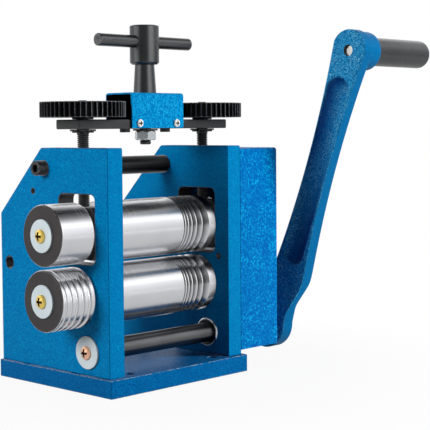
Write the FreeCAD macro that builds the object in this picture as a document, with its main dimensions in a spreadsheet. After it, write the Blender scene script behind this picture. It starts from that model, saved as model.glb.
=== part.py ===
import FreeCAD, Part
import math
import os

import Sketcher

# Jewellers rolling mill, built as an assembly.  Millimetres.
# +X runs along the rollers towards the gearbox and the crank, -Y is the side that metal is fed
# into, +Z is up.  The origin is the centre of the underside of the base plate.

os.makedirs("parts", exist_ok=True)
doc = FreeCAD.newDocument("rolling_mill")
sheet = doc.addObject("Spreadsheet::Sheet", "sizes")


# ---------------------------------------------------------------------------------------------
# Sizes
# ---------------------------------------------------------------------------------------------
class Size:
    """A size with its number and the expression that the document keeps for it."""

    def __init__(self, value, text):
        self.value = float(value)
        self.text = text

    def __float__(self):
        return self.value

    def __add__(self, other):
        return Size(self.value + float(other), f"({self.text} + {words(other)})")

    def __radd__(self, other):
        return Size(float(other) + self.value, f"({words(other)} + {self.text})")

    def __sub__(self, other):
        return Size(self.value - float(other), f"({self.text} - {words(other)})")

    def __rsub__(self, other):
        return Size(float(other) - self.value, f"({words(other)} - {self.text})")

    def __mul__(self, other):
        return Size(self.value * float(other), f"({self.text} * {words(other)})")

    __rmul__ = __mul__

    def __truediv__(self, other):
        return Size(self.value / float(other), f"({self.text} / {words(other)})")

    def __neg__(self):
        return Size(-self.value, f"(0 - {self.text})")


def words(size):
    """The expression of a size, or the digits of a plain number."""
    return size.text if isinstance(size, Size) else str(size)


def root(size):
    return Size(math.sqrt(size.value), f"sqrt({size.text})")


DRIVING = {
    # Base plate and the four bench bolts
    "base_length": 128.4,
    "base_depth": 117.6,
    "base_thick": 12.0,
    "edge_break": 0.6,
    "bench_hole": 6.6,
    "bench_hole_spacing_x": 79.0,
    "bench_hole_spacing_y": 95.8,
    # Side plates
    "plate_gap": 98.1,
    "plate_thick": 13.0,
    "plate_depth": 112.7,
    "plate_height": 148.0,
    "plate_slope": 45.4,
    "front_step": 3.9,
    "axis_setback": 31.0,
    "window_width": 36.0,
    "window_bottom": 84.4,
    "window_top": 130.0,
    "window_corner": 5.0,
    "rear_hole": 8.3,
    "rear_hole_inset": 9.2,
    "rear_hole_height": 80.7,
    "sight_hole": 3.6,
    "sight_hole_setback": 76.3,
    "sight_hole_height": 130.8,
    "guide_hole_setback": 9.4,
    "guide_hole_height": 82.2,
    "guide_hole_deep": 8.0,
    "base_screw_thread": 6.0,
    "base_screw_front": 42.0,
    "base_screw_rear": 18.0,
    "base_screw_bite": 16.0,
    # Tie rod between the plates
    "tie_rod": 12.8,
    "tie_rod_setback": 64.0,
    "tie_rod_height": 146.5,
    "tie_screw_thread": 6.0,
    "tie_screw_bite": 14.0,
    "tie_washer_thick": 1.6,
    # Rollers
    "roller_dia": 40.0,
    "lower_axis": 62.6,
    "roller_gap": 1.9,
    "roller_gap_least": 0.1,
    "roller_side_gap": 0.4,
    "roller_edge": 0.8,
    "journal": 20.0,
    "stub": 18.0,
    "groove_zone": 65.5,
    "groove_count": 6,
    "groove_width": 1.6,
    "groove_growth": 1.33,
    "groove_land": 0.6,
    "extension_length": 26.5,
    "extension_edge": 0.5,
    "half_round_count": 5,
    "half_round_width": 1.8,
    "half_round_growth": 1.16,
    "half_round_land": 2.4,
    "half_round_rim": 1.8,
    "half_round_depth": 0.44,
    "spacer_dia": 36.0,
    "spacer_thick": 1.5,
    "end_washer": 21.5,
    "end_washer_thick": 1.4,
    "end_screw_thread": 5.0,
    "end_screw_length": 14.0,
    # Bearings
    "bush_wall": 3.0,
    "block_height": 34.0,
    "block_corner": 3.6,
    "spring_dia": 4.0,
    "spring_wire": 0.7,
    "spring_pocket_offset": 11.0,
    "spring_pocket_deep": 5.6,
    "spring_turns": 5,
    # Running clearances
    "run_fit": 0.05,
    "slide_fit": 0.05,
    "end_play": 0.15,
    "air_gap": 0.3,
    # Adjusting gear train above the plates
    "screw_thread": 8.0,
    "bridge_lift": 12.2,
    "bar_length": 137.4,
    "bar_width": 23.6,
    "bar_thick": 6.3,
    "top_gear_lift": 1.4,
    "top_gear_face": 10.2,
    "big_teeth": 49,
    "idler_teeth": 18,
    "pinion_teeth": 16,
    "big_gear_boss": 14.0,
    "screw_end": 0.9,
    "screw_washer": 17.0,
    "screw_washer_thick": 1.2,
    "clip_thick": 1.0,
    "clip_reach": 3.2,
    "clip_groove_deep": 0.6,
    "idler_bolt_thread": 4.0,
    "idler_bolt_drop": 2.4,
    # Cover over the top gears
    "cover_length": 48.3,
    "cover_rise": 24.2,
    "cover_skirt": 5.9,
    "cover_sheet": 1.4,
    "cover_bend": 2.4,
    "cover_screw_thread": 3.0,
    "cover_screw_spacing": 34.2,
    "cover_screw_drop": 2.6,
    "cover_screw_length": 6.0,
    # T-handle
    "hub_dia": 20.0,
    "hub_height": 25.2,
    "neck_length": 20.8,
    "hub_chamfer": 1.4,
    "neck_top_dia": 13.2,
    "neck_foot_dia": 15.6,
    "spindle_dia": 10.0,
    "cross_bar": 8.5,
    "cross_bar_length": 84.5,
    "cross_bar_drop": 11.2,
    "stud_dia": 8.0,
    "stud_reach": 3.0,
    # Gearbox on the right-hand plate
    "gearbox_width": 39.9,
    "gearbox_depth": 66.0,
    "gearbox_floor": 14.9,
    "gearbox_top": 158.0,
    "gearbox_wall": 2.6,
    "gearbox_boss_wall": 2.4,
    "gearbox_corner": 2.0,
    "gearbox_post": 10.0,
    "gearbox_post_inset": 9.6,
    "gearbox_rear_screw_drop": 30.0,
    "gearbox_screw_thread": 5.0,
    "gearbox_screw_bite": 9.0,
    # Drive train inside the gearbox
    "drive_module": 1.5,
    "drive_pinion_teeth": 14,
    "drive_gear_teeth": 35,
    "drive_forward": 10.0,
    "drive_gear_start": 2.0,
    "drive_gear_face": 12.0,
    "coupling_teeth": 12,
    "gear_boss": 23.0,
    "coupling_start": 16.0,
    "coupling_face": 15.0,
    "roller_tail": 3.0,
    "drive_shaft": 13.8,
    "drive_bush_wall": 1.6,
    "drive_flange": 20.0,
    "drive_flange_thick": 1.2,
    "key_width": 4.0,
    "key_height": 4.0,
    "roller_key_length": 12.0,
    "crank_key_length": 9.0,
    "backlash": 0.16,
    "shaft_clip_thick": 1.2,
    "shaft_clip_reach": 2.6,
    # Crank
    "crank_reach": 211.0,
    "crank_lean": 19.2,
    "crank_gap": 8.0,
    "crank_hub_radius": 19.0,
    "crank_hub_thick": 11.0,
    "crank_hub_foot": 26.0,
    "crank_hub_shoulder": 6.5,
    "crank_step": 13.0,
    "crank_step_start": 14.0,
    "crank_step_end": 33.0,
    "crank_knee_start": 19.5,
    "crank_knee_end": 36.0,
    "crank_knee_run": 6.0,
    "crank_knee_share": 0.25,
    "crank_knee_bulge": 0.8,
    "crank_arm_thick": 11.0,
    "crank_head_thick": 9.3,
    "crank_head_radius": 15.0,
    "crank_head_shoulder": 3.0,
    "crank_waist_bulge": 4.2,
    "crank_half_foot": 15.6,
    "crank_half_neck": 13.0,
    "crank_boss": 26.0,
    "crank_boss_reach": 21.6,
    "pocket_start": 46.0,
    "pocket_end": 191.0,
    "pocket_deep": 4.4,
    "pocket_rim": 2.4,
    "pocket_taper": 3.6,
    "pocket_end_shape": 0.9,
    "pocket_waist_bulge": 0.6,
    "crank_bolt_thread": 8.0,
    "crank_washer": 24.0,
    "crank_washer_thick": 2.0,
    # Grip
    "grip_dia": 20.5,
    "grip_length": 67.5,
    "grip_round": 4.5,
    "grip_bolt": 8.0,
    "grip_bolt_head": 13.0,
    "grip_bolt_head_height": 5.0,
    "grip_recess": 9.0,
    "grip_bolt_sink": 3.0,
}

for row, (name, value) in enumerate(DRIVING.items(), start=1):
    sheet.set(f"A{row}", name)
    sheet.set(f"B{row}", str(value))
    sheet.setAlias(f"B{row}", name)


class Sizes:
    """All the sizes of the mill by name: the driving ones, then the ones tied to them."""

    def __init__(self):
        self.last_row = len(DRIVING)
        for name, value in DRIVING.items():
            setattr(self, name, Size(value, f"sizes.{name}"))

    def tie(self, name, size):
        """Keep a size worked out from others in a cell of its own."""
        self.last_row += 1
        sheet.set(f"A{self.last_row}", name)
        sheet.set(f"B{self.last_row}", "=" + size.text.replace("sizes.", ""))
        sheet.setAlias(f"B{self.last_row}", name)
        setattr(self, name, Size(size.value, f"sizes.{name}"))


s = Sizes()
s.tie("inner_x", s.plate_gap / 2)
s.tie("outer_x", s.plate_gap / 2 + s.plate_thick)
s.tie("screw_x", s.plate_gap / 2 + s.plate_thick / 2)
s.tie("front_y", s.front_step - s.base_depth / 2)
s.tie("rear_y", s.front_y + s.plate_depth)
s.tie("plate_top", s.base_thick + s.plate_height)
s.tie("axis_y", s.front_y + s.axis_setback)
s.tie("upper_axis", s.lower_axis + s.roller_dia + s.roller_gap)
s.tie("bush_dia", s.journal + 2 * s.bush_wall)
s.tie("block_top", s.upper_axis + s.block_height / 2)
s.tie("block_bottom", s.upper_axis - s.block_height / 2)
s.tie("drive_centres", s.drive_module * (s.drive_pinion_teeth + s.drive_gear_teeth) / 2)
s.tie("drive_y", s.axis_y - s.drive_forward)
s.tie("drive_drop", root(s.drive_centres * s.drive_centres - s.drive_forward * s.drive_forward))
s.tie("drive_z", s.lower_axis - s.drive_drop)
s.tie("drive_bush", s.drive_shaft + 2 * s.drive_bush_wall)
s.tie("coupling_module", (s.roller_dia + s.roller_gap_least) / s.coupling_teeth)
s.tie("top_teeth", s.pinion_teeth + 2 * s.idler_teeth + s.big_teeth)
s.tie("top_module", 2 * s.screw_x / s.top_teeth)
s.tie("idler_x", s.top_module * (s.pinion_teeth + s.idler_teeth) / 2)
s.tie("bar_bottom", s.plate_top + s.bridge_lift)
s.tie("bar_top", s.bar_bottom + s.bar_thick)
s.tie("top_gear_z", s.bar_top + s.top_gear_lift)
s.tie("top_gear_top", s.top_gear_z + s.top_gear_face)
s.tie("cover_top", s.bar_bottom + s.cover_rise)
s.tie("cover_bottom", s.bar_top - s.cover_skirt)
s.tie("hub_foot", s.cover_top + s.neck_length)
s.tie("hub_top", s.hub_foot + s.hub_height)
s.tie("cross_bar_z", s.hub_top - s.cross_bar_drop)
s.tie("extension_x", s.outer_x + s.air_gap + s.spacer_thick)
s.tie("extension_end_x", s.extension_x + s.extension_length)
s.tie("drive_gear_x", s.outer_x + s.drive_gear_start)
s.tie("coupling_x", s.outer_x + s.coupling_start)
s.tie("coupling_end_x", s.coupling_x + s.coupling_face)
s.tie("gearbox_x", s.outer_x + s.gearbox_width)
s.tie("crank_x", s.gearbox_x + s.crank_gap)
s.tie("crank_outer_x", s.crank_x + s.crank_hub_thick)
s.tie("tie_rod_y", s.front_y + s.tie_rod_setback)
doc.recompute()


# ---------------------------------------------------------------------------------------------
# Drawing helpers
# ---------------------------------------------------------------------------------------------
def vector(x, y, z=0.0):
    return FreeCAD.Vector(float(x), float(y), float(z))


def bind(feature, **sizes):
    """Bind properties to sizes; two underscores stand for the dot of a nested property."""
    for name, size in sizes.items():
        feature.setExpression(name.replace("__", "."), words(size))


def place(piece, x=0, y=0, z=0):
    """Put a sub-part where its sizes say."""
    piece.Placement.Base = vector(x, y, z)
    bind(piece, Placement__Base__x=x, Placement__Base__y=y, Placement__Base__z=z)
    return piece


def origin_of(body, role):
    return next(feature for feature in body.Origin.OriginFeatures if feature.Role == role)


class Drawing:
    """A sketch on one of a body's origin planes, with every point dimensioned by sizes."""

    def __init__(self, body, role, offset=0):
        self.sketch = body.newObject("Sketcher::SketchObject", f"{body.Label}_sketch")
        self.sketch.AttachmentSupport = [(origin_of(body, role), "")]
        self.sketch.MapMode = "FlatFace"
        bind(self.sketch, AttachmentOffset__Base__z=offset)

    def _dimension(self, kind, *place_and_size):
        size = place_and_size[-1]
        number = self.sketch.addConstraint(
            Sketcher.Constraint(kind, *place_and_size[:-1], float(size))
        )
        self.sketch.setExpression(f"Constraints[{number}]", words(size))

    def _fix(self, geometry, point, x, y):
        self._dimension("DistanceX", -1, 1, geometry, point, x)
        self._dimension("DistanceY", -1, 1, geometry, point, y)

    def outline(self, corners):
        """A closed outline through the corners.  A corner is (x, y), or (x, y, bulge) where the
        side that leaves it is an arc that stands out to its right by the bulge."""
        count = len(corners)
        first = self.sketch.GeometryCount
        for n in range(count):
            start, end = corners[n], corners[(n + 1) % count]
            if len(start) == 3:
                self.sketch.addGeometry(bulged_arc(start, end))
            else:
                self.sketch.addGeometry(Part.LineSegment(vector(*start), vector(*end[:2])))
        for n in range(count):
            start, end = corners[n], corners[(n + 1) % count]
            arc = len(start) == 3
            joined = len(end) == 3
            self._join(first + n, arc, start, first + (n + 1) % count, joined, end)
            self._fix(first + n, self._start_point(arc, start), *start[:2])
            if arc:
                self._dimension("Radius", first + n, arc_radius(start, end))
        return self

    @staticmethod
    def _start_point(arc, corner):
        """Which end of an arc is its first: an arc that turns clockwise is kept back to front."""
        return 2 if arc and float(corner[2]) < 0 else 1

    def _join(self, side, arc, corner, after, after_arc, after_corner):
        end = 3 - self._start_point(arc, corner)
        start = self._start_point(after_arc, after_corner)
        self.sketch.addConstraint(Sketcher.Constraint("Coincident", side, end, after, start))

    def circle(self, x, y, diameter):
        number = self.sketch.addGeometry(
            Part.Circle(vector(x, y), vector(0, 0, 1), float(diameter) / 2)
        )
        self._fix(number, 3, x, y)
        self._dimension("Diameter", number, diameter)
        return self


def bulged_arc(start, end):
    """The arc from one corner to the next that stands out to the right by the corner's bulge."""
    first, last = vector(*start[:2]), vector(*end[:2])
    along = (last - first).normalize()
    right = vector(along.y, -along.x)
    return Part.Arc(first, (first + last) * 0.5 + right * float(start[2]), last)


def arc_radius(start, end):
    """Radius of a side from its chord and its bulge."""
    x, y, bulge = end[0] - start[0], end[1] - start[1], start[2]
    radius = (x * x + y * y) / (8 * bulge) + bulge / 2
    return Size(abs(radius.value), f"abs({radius.text})")


def new_body(label):
    body = doc.addObject("PartDesign::Body", label)
    body.Label = label
    return body


def pad(body, drawing, length, name="pad"):
    feature = body.newObject("PartDesign::Pad", f"{body.Label}_{name}")
    feature.Profile = drawing.sketch
    bind(feature, Length=length)
    return feature


def pocket(body, drawing, depth, name="pocket", along_normal=False):
    """Cut against the sketch plane's normal, or along it."""
    feature = body.newObject("PartDesign::Pocket", f"{body.Label}_{name}")
    feature.Profile = drawing.sketch
    feature.Reversed = along_normal
    bind(feature, Length=depth)
    return feature


def dress(body, kind, base, wanted, **sizes):
    """A Fillet or Chamfer on the edges of the base feature that are wanted."""
    doc.recompute()
    names = [
        f"Edge{number}"
        for number, edge in enumerate(base.Shape.Edges, start=1)
        if wanted(edge)
    ]
    feature = body.newObject(f"PartDesign::{kind}", f"{body.Label}_{kind.lower()}")
    feature.Base = (base, names)
    bind(feature, **sizes)
    return feature


def runs_along(edge, axis):
    """True for a straight edge parallel to an axis, given as 0, 1 or 2."""
    if not isinstance(edge.Curve, (Part.Line, Part.LineSegment)):
        return False
    ends = [vertex.Point for vertex in edge.Vertexes]
    step = [abs(ends[1][n] - ends[0][n]) for n in range(3)]
    return all(step[n] < 1e-6 for n in range(3) if n != axis)


def turned(label, axis, outline):
    """A turned piece: an outline of (along, radius) points revolved about its X or Z axis."""
    body = new_body(label)
    if axis == "X":
        drawing = Drawing(body, "XY_Plane").outline(outline)
    else:
        drawing = Drawing(body, "XZ_Plane").outline([(radius, along) for along, radius in outline])
    feature = body.newObject("PartDesign::Revolution", f"{label}_turn")
    feature.Profile = drawing.sketch
    feature.ReferenceAxis = (origin_of(body, f"{axis}_Axis"), [""])
    feature.Angle = 360
    return body


def ring(label, axis, start, end, bore, outside):
    """A plain ring or washer between two stations on its axis."""
    inner, outer = bore / 2, outside / 2
    return turned(label, axis, [(start, inner), (end, inner), (end, outer), (start, outer)])


ALONG_X = FreeCAD.Rotation(vector(0, 1, 0), vector(0, 0, 1), vector(1, 0, 0))
TO_LEFT = FreeCAD.Rotation(vector(0, 1, 0), -90)
TO_RIGHT = FreeCAD.Rotation(vector(0, 1, 0), 90)
TO_FRONT = FreeCAD.Rotation(vector(1, 0, 0), 90)
TO_BACK = FreeCAD.Rotation(vector(1, 0, 0), -90)
UPRIGHT = FreeCAD.Rotation()
HEAD_DOWN = FreeCAD.Rotation(vector(1, 0, 0), 180)


def solid(label, shape, x=0, y=0, z=0, rotation=UPRIGHT):
    """A sub-part whose shape is made with Part's own functions."""
    piece = doc.addObject("Part::Feature", label)
    piece.Label = label
    piece.Shape = shape
    piece.Placement = FreeCAD.Placement(vector(x, y, z), rotation)
    bind(piece, Placement__Base__x=x, Placement__Base__y=y, Placement__Base__z=z)
    return piece


def group(label, shape, places):
    """Identical pieces as separate solids; each place is (x, y, z, rotation)."""
    copies = []
    for x, y, z, rotation in places:
        copy = shape.copy()
        copy.Placement = FreeCAD.Placement(vector(x, y, z), rotation)
        copies.append(copy)
    return solid(label, Part.makeCompound(copies))


# ---------------------------------------------------------------------------------------------
# Standard fasteners, drawn with the head above z = 0 and the shank below it
# ---------------------------------------------------------------------------------------------
def hexagon(across_flats, height):
    corner = across_flats / math.sqrt(3)
    points = [
        vector(corner * math.cos(math.radians(60 * n)), corner * math.sin(math.radians(60 * n)))
        for n in range(6)
    ]
    return Part.Face(Part.makePolygon(points + points[:1])).extrude(vector(0, 0, height))


def spun(points):
    """The (radius, z) outline spun about the z axis."""
    corners = [vector(radius, 0, z) for radius, z in points]
    face = Part.Face(Part.makePolygon(corners + corners[:1]))
    return face.revolve(vector(0, 0, 0), vector(0, 0, 1), 360)


def socket_head(thread):
    """Head diameter of a socket head screw."""
    return 1.5 * thread + 1.0


def socket_screw(thread, length):
    """A socket head cap screw; its head is as high as the thread is thick."""
    thread, length = float(thread), float(length)
    head, shank, bevel = socket_head(thread) / 2, thread / 2, 0.08 * thread
    body = spun(
        [
            (0, -length),
            (shank - bevel, -length),
            (shank, bevel - length),
            (shank, 0),
            (head, 0),
            (head, thread - bevel),
            (head - bevel, thread),
            (0, thread),
        ]
    )
    key = hexagon(0.82 * thread, thread)
    key.translate(vector(0, 0, 0.45 * thread))
    return body.cut(key)


def cross_screw(thread, length):
    """A domed cross-recessed screw."""
    thread, length = float(thread), float(length)
    head, shank, rise = 0.9 * thread, thread / 2, 0.52 * thread
    body = spun(
        [
            (0, -length),
            (shank, -length),
            (shank, 0),
            (head, 0),
            (head, 0.4 * rise),
            (0.72 * head, 0.85 * rise),
            (0.4 * head, rise),
            (0, rise),
        ]
    )
    reach, slot = 1.15 * head, 0.2 * thread
    for angle in (0, 90):
        blade = Part.makeBox(reach, slot, rise, vector(-reach / 2, -slot / 2, 0.35 * rise))
        blade.rotate(vector(0, 0, 0), vector(0, 0, 1), angle)
        body = body.cut(blade)
    return body


def nut_height(thread):
    return 0.8 * thread


def hex_nut(thread, bore):
    """A hexagon nut standing on z = 0, with its corners turned off at both ends."""
    thread = float(thread)
    flats, height = 1.5 * thread + 1.0, nut_height(thread)
    corner = flats / math.sqrt(3)
    bevel = 0.5 * (corner - flats / 2)
    barrel = spun(
        [
            (float(bore) / 2, 0),
            (corner - 2 * bevel, 0),
            (corner, bevel),
            (corner, height - bevel),
            (corner - 2 * bevel, height),
            (float(bore) / 2, height),
        ]
    )
    return hexagon(flats, height).common(barrel)


# ---------------------------------------------------------------------------------------------
# Gears
# ---------------------------------------------------------------------------------------------
class Gear:
    """An involute spur gear about +z, with one tooth centred on the angle called phase."""

    def __init__(self, module, teeth, face, phase, pressure=20.0, addendum=1.0, dedendum=1.25):
        self.teeth = int(round(float(teeth)))
        self.face = float(face)
        self.phase = math.radians(phase)
        self.pitch = float(module) * self.teeth / 2
        self.base = self.pitch * math.cos(math.radians(pressure))
        self.tip = self.pitch + addendum * float(module)
        self.root = self.pitch - dedendum * float(module)
        self.pressure = math.radians(pressure)

    def half_angle(self, radius):
        """Half the angle that a tooth takes up at a radius: the involute, opened by backlash."""
        slack = float(s.backlash) / (2 * self.pitch)
        at_radius = math.acos(min(1.0, self.base / radius))
        opened = math.tan(self.pressure) - self.pressure
        closed = math.tan(at_radius) - at_radius
        return math.pi / (2 * self.teeth) - slack + opened - closed

    def flank(self, centre, side):
        """One flank from root to tip: a short radial line where the involute can't reach, then
        an arc through three points of the involute."""
        start = max(self.base, self.root)
        points = []
        for share in (0.0, 0.5, 1.0):
            radius = start + share * (self.tip - start)
            angle = centre + side * self.half_angle(radius)
            points.append(vector(radius * math.cos(angle), radius * math.sin(angle)))
        edges = [Part.Arc(*points).toShape()]
        foot = points[0]
        if start > self.root + 1e-6:
            foot = points[0] * (self.root / start)
            edges.insert(0, Part.makeLine(foot, points[0]))
        return foot, edges, points[-1]

    def solid(self):
        edges = []
        feet = []
        for number in range(self.teeth):
            centre = self.phase + 2 * math.pi * number / self.teeth
            foot, rising, tip = self.flank(centre, -1)
            last_foot, falling, last_tip = self.flank(centre, 1)
            edges += rising + [Part.makeLine(tip, last_tip)] + falling[::-1]
            feet.append((foot, last_foot))
        for number, (_, last_foot) in enumerate(feet):
            edges.append(Part.makeLine(last_foot, feet[(number + 1) % self.teeth][0]))
        outline = Part.Wire(Part.__sortEdges__(edges))
        return Part.Face(outline).extrude(vector(0, 0, self.face))


def cylinder(diameter, start, end, x=0.0, y=0.0):
    """A cylinder along +z between two stations."""
    return Part.makeCylinder(
        float(diameter) / 2, float(end) - float(start), vector(x, y, start), vector(0, 0, 1)
    )


# ---------------------------------------------------------------------------------------------
# Base plate
# ---------------------------------------------------------------------------------------------
def plate_screw_rows():
    """The two y positions of the screws under a side plate, clear of the drive shaft."""
    return s.front_y + s.base_screw_front, s.rear_y - s.base_screw_rear


def plate_screw_places():
    """(x, y) of the screws that hold the side plates down."""
    return [(x, y) for x in (-s.screw_x, s.screw_x) for y in plate_screw_rows()]


def corners(width, depth):
    """The four (x, y) corners of a rectangle about the origin."""
    x, y = width / 2, depth / 2
    return [(-x, -y), (x, -y), (x, y), (-x, y)]


def base_plate():
    body = new_body("base_plate")
    pad(body, Drawing(body, "XY_Plane").outline(corners(s.base_length, s.base_depth)), s.base_thick)
    bench = Drawing(body, "XY_Plane", s.base_thick)
    for x, y in corners(s.bench_hole_spacing_x, s.bench_hole_spacing_y):
        bench.circle(x, y, s.bench_hole)
    for x, y in plate_screw_places():
        bench.circle(x, y, s.base_screw_thread + 2 * s.air_gap)
    pocket(body, bench, s.base_thick, "through")
    seats = Drawing(body, "XY_Plane")
    for x, y in plate_screw_places():
        seats.circle(x, y, socket_head(s.base_screw_thread) + 2 * s.air_gap)
    last = pocket(body, seats, s.base_screw_thread + s.air_gap, "seats", along_normal=True)
    top = float(s.base_thick)
    dress(
        body,
        "Chamfer",
        last,
        lambda edge: (runs_along(edge, 0) or runs_along(edge, 1))
        and abs(edge.CenterOfMass.z - top) < 1e-6,
        Size=s.edge_break,
    )
    return body


def base_screws():
    """Cap screws pushed up through the base plate into the side plates."""
    under_head = s.base_screw_thread + s.air_gap
    length = s.base_thick - under_head + s.base_screw_bite
    screw = socket_screw(s.base_screw_thread, length)
    return group(
        "base_screws", screw, [(x, y, under_head, HEAD_DOWN) for x, y in plate_screw_places()]
    )


# ---------------------------------------------------------------------------------------------
# Side plates and tie rod
# ---------------------------------------------------------------------------------------------
def gearbox_screw_places():
    """(y, z) of the three screws that hold the gearbox cover."""
    front = s.front_y + s.gearbox_post_inset
    rear = s.front_y + s.gearbox_depth - s.gearbox_post_inset
    low = s.gearbox_floor + s.gearbox_post_inset
    high = s.gearbox_top - s.gearbox_post_inset
    return [(rear, low), (rear, s.gearbox_top - s.gearbox_rear_screw_drop), (front, high)]


def side_plate(label, inner_face, x_start, guide_hole, gearbox_holes):
    body = new_body(label)
    face = Drawing(body, "YZ_Plane", x_start)
    face.outline(
        [
            (s.front_y, s.base_thick),
            (s.rear_y, s.base_thick),
            (s.rear_y, s.plate_top - s.plate_slope),
            (s.rear_y - s.plate_slope, s.plate_top),
            (s.front_y, s.plate_top),
        ]
    )
    pad(body, face, s.plate_thick)
    x_end = x_start + s.plate_thick
    left, right = s.axis_y - s.window_width / 2, s.axis_y + s.window_width / 2
    window = Drawing(body, "YZ_Plane", x_end)
    window.outline(
        [
            (left, s.window_bottom),
            (right, s.window_bottom),
            (right, s.window_top),
            (left, s.window_top),
        ]
    )
    window_cut = pocket(body, window, s.plate_thick, "window")
    dress(
        body,
        "Fillet",
        window_cut,
        lambda edge: runs_along(edge, 0)
        and abs(abs(edge.CenterOfMass.y - float(s.axis_y)) - float(s.window_width) / 2) < 1e-6
        and edge.CenterOfMass.z > float(s.window_bottom) - 1e-6
        and edge.CenterOfMass.z < float(s.window_top) + 1e-6,
        Radius=s.window_corner,
    )
    holes = Drawing(body, "YZ_Plane", x_end)
    holes.circle(s.axis_y, s.lower_axis, s.bush_dia)
    holes.circle(s.drive_y, s.drive_z, s.drive_bush)
    holes.circle(s.tie_rod_y, s.tie_rod_height, s.tie_screw_thread + 2 * s.air_gap)
    holes.circle(s.rear_y - s.rear_hole_inset, s.rear_hole_height, s.rear_hole)
    holes.circle(s.front_y + s.sight_hole_setback, s.sight_hole_height, s.sight_hole)
    pocket(body, holes, s.plate_thick, "holes")
    thread = Drawing(body, "XY_Plane", s.plate_top)
    thread.circle(x_start + s.plate_thick / 2, s.axis_y, s.screw_thread + 2 * s.run_fit)
    last = pocket(body, thread, s.plate_top - s.window_top, "screw_hole")
    feet = Drawing(body, "XY_Plane", s.base_thick)
    for y in plate_screw_rows():
        feet.circle(x_start + s.plate_thick / 2, y, s.base_screw_thread)
    last = pocket(body, feet, s.base_screw_bite + s.air_gap, "feet", along_normal=True)
    if guide_hole:
        guide = Drawing(body, "YZ_Plane", inner_face)
        guide.circle(s.front_y + s.guide_hole_setback, s.guide_hole_height, s.sight_hole)
        last = pocket(body, guide, s.guide_hole_deep, "guide_hole", along_normal=True)
    if gearbox_holes:
        sink = Drawing(body, "YZ_Plane", x_end)
        wide = socket_head(s.tie_screw_thread) + 2 * s.air_gap
        sink.circle(s.tie_rod_y, s.tie_rod_height, wide)
        pocket(body, sink, s.tie_screw_thread + s.air_gap, "tie_screw_sink")
        taps = Drawing(body, "YZ_Plane", x_end)
        for y, z in gearbox_screw_places():
            taps.circle(y, z, s.gearbox_screw_thread)
        last = pocket(body, taps, s.gearbox_screw_bite + s.air_gap, "gearbox_taps")
    flat = {float(x_start), float(x_end)}
    dress(
        body,
        "Chamfer",
        last,
        lambda edge: (runs_along(edge, 2) or is_sloping(edge))
        and min(abs(edge.CenterOfMass.x - x) for x in flat) < 1e-6
        and abs(edge.CenterOfMass.y - float(s.axis_y)) > float(s.window_width) / 2 + 1e-3,
        Size=s.edge_break,
    )
    return body


def is_sloping(edge):
    """True for the two long edges of the sloping rear corner."""
    ends = [vertex.Point for vertex in edge.Vertexes]
    if len(ends) < 2:
        return False
    step = ends[1] - ends[0]
    slope = float(s.plate_slope)
    return abs(abs(step.y) - slope) < 1e-3 and abs(abs(step.z) - slope) < 1e-3


def tie_rod():
    """The rod that spaces the plates at the top, tapped at both ends."""
    half, tap = s.inner_x, s.tie_screw_bite + 1.0
    radius, hole = s.tie_rod / 2, s.tie_screw_thread / 2
    rod = turned(
        "top_tie_rod",
        "X",
        [
            (-half, hole),
            (tap - half, hole),
            (tap - half, Size(0, "0")),
            (half - tap, Size(0, "0")),
            (half - tap, hole),
            (half, hole),
            (half, radius),
            (-half, radius),
        ],
    )
    return place(rod, y=s.tie_rod_y, z=s.tie_rod_height)


def tie_rod_screws():
    """The tie rod's cap screws: on a washer at the left, sunk under the gearbox at the right."""
    head, thick = s.tie_screw_thread + s.air_gap, float(s.tie_washer_thick)
    grip = s.plate_thick + s.tie_screw_bite
    left = socket_screw(s.tie_screw_thread, grip + thick)
    right = socket_screw(s.tie_screw_thread, grip - head)
    outside = socket_head(float(s.tie_screw_thread)) / 2 + 0.8
    bore = float(s.tie_screw_thread) / 2 + 0.2
    washer = spun([(bore, -thick), (outside, -thick), (outside, 0), (bore, 0)])
    left = Part.makeCompound([left, washer])
    left.Placement = FreeCAD.Placement(vector(-(s.outer_x + thick), 0), TO_LEFT)
    right.Placement = FreeCAD.Placement(vector(s.outer_x - head, 0), TO_RIGHT)
    both = Part.makeCompound([left, right])
    return solid("tie_rod_screws", both, 0, s.tie_rod_y, s.tie_rod_height)


# ---------------------------------------------------------------------------------------------
# Rollers
# ---------------------------------------------------------------------------------------------
NOTHING = Size(0, "0")


def groove_stations(start, count, width, growth, land):
    """(start, width) of each groove in a row whose grooves widen by the same factor."""
    stations = []
    for _ in range(int(round(float(count)))):
        stations.append((start, width))
        start = start + width + land
        width = width * growth
    return stations


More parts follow.
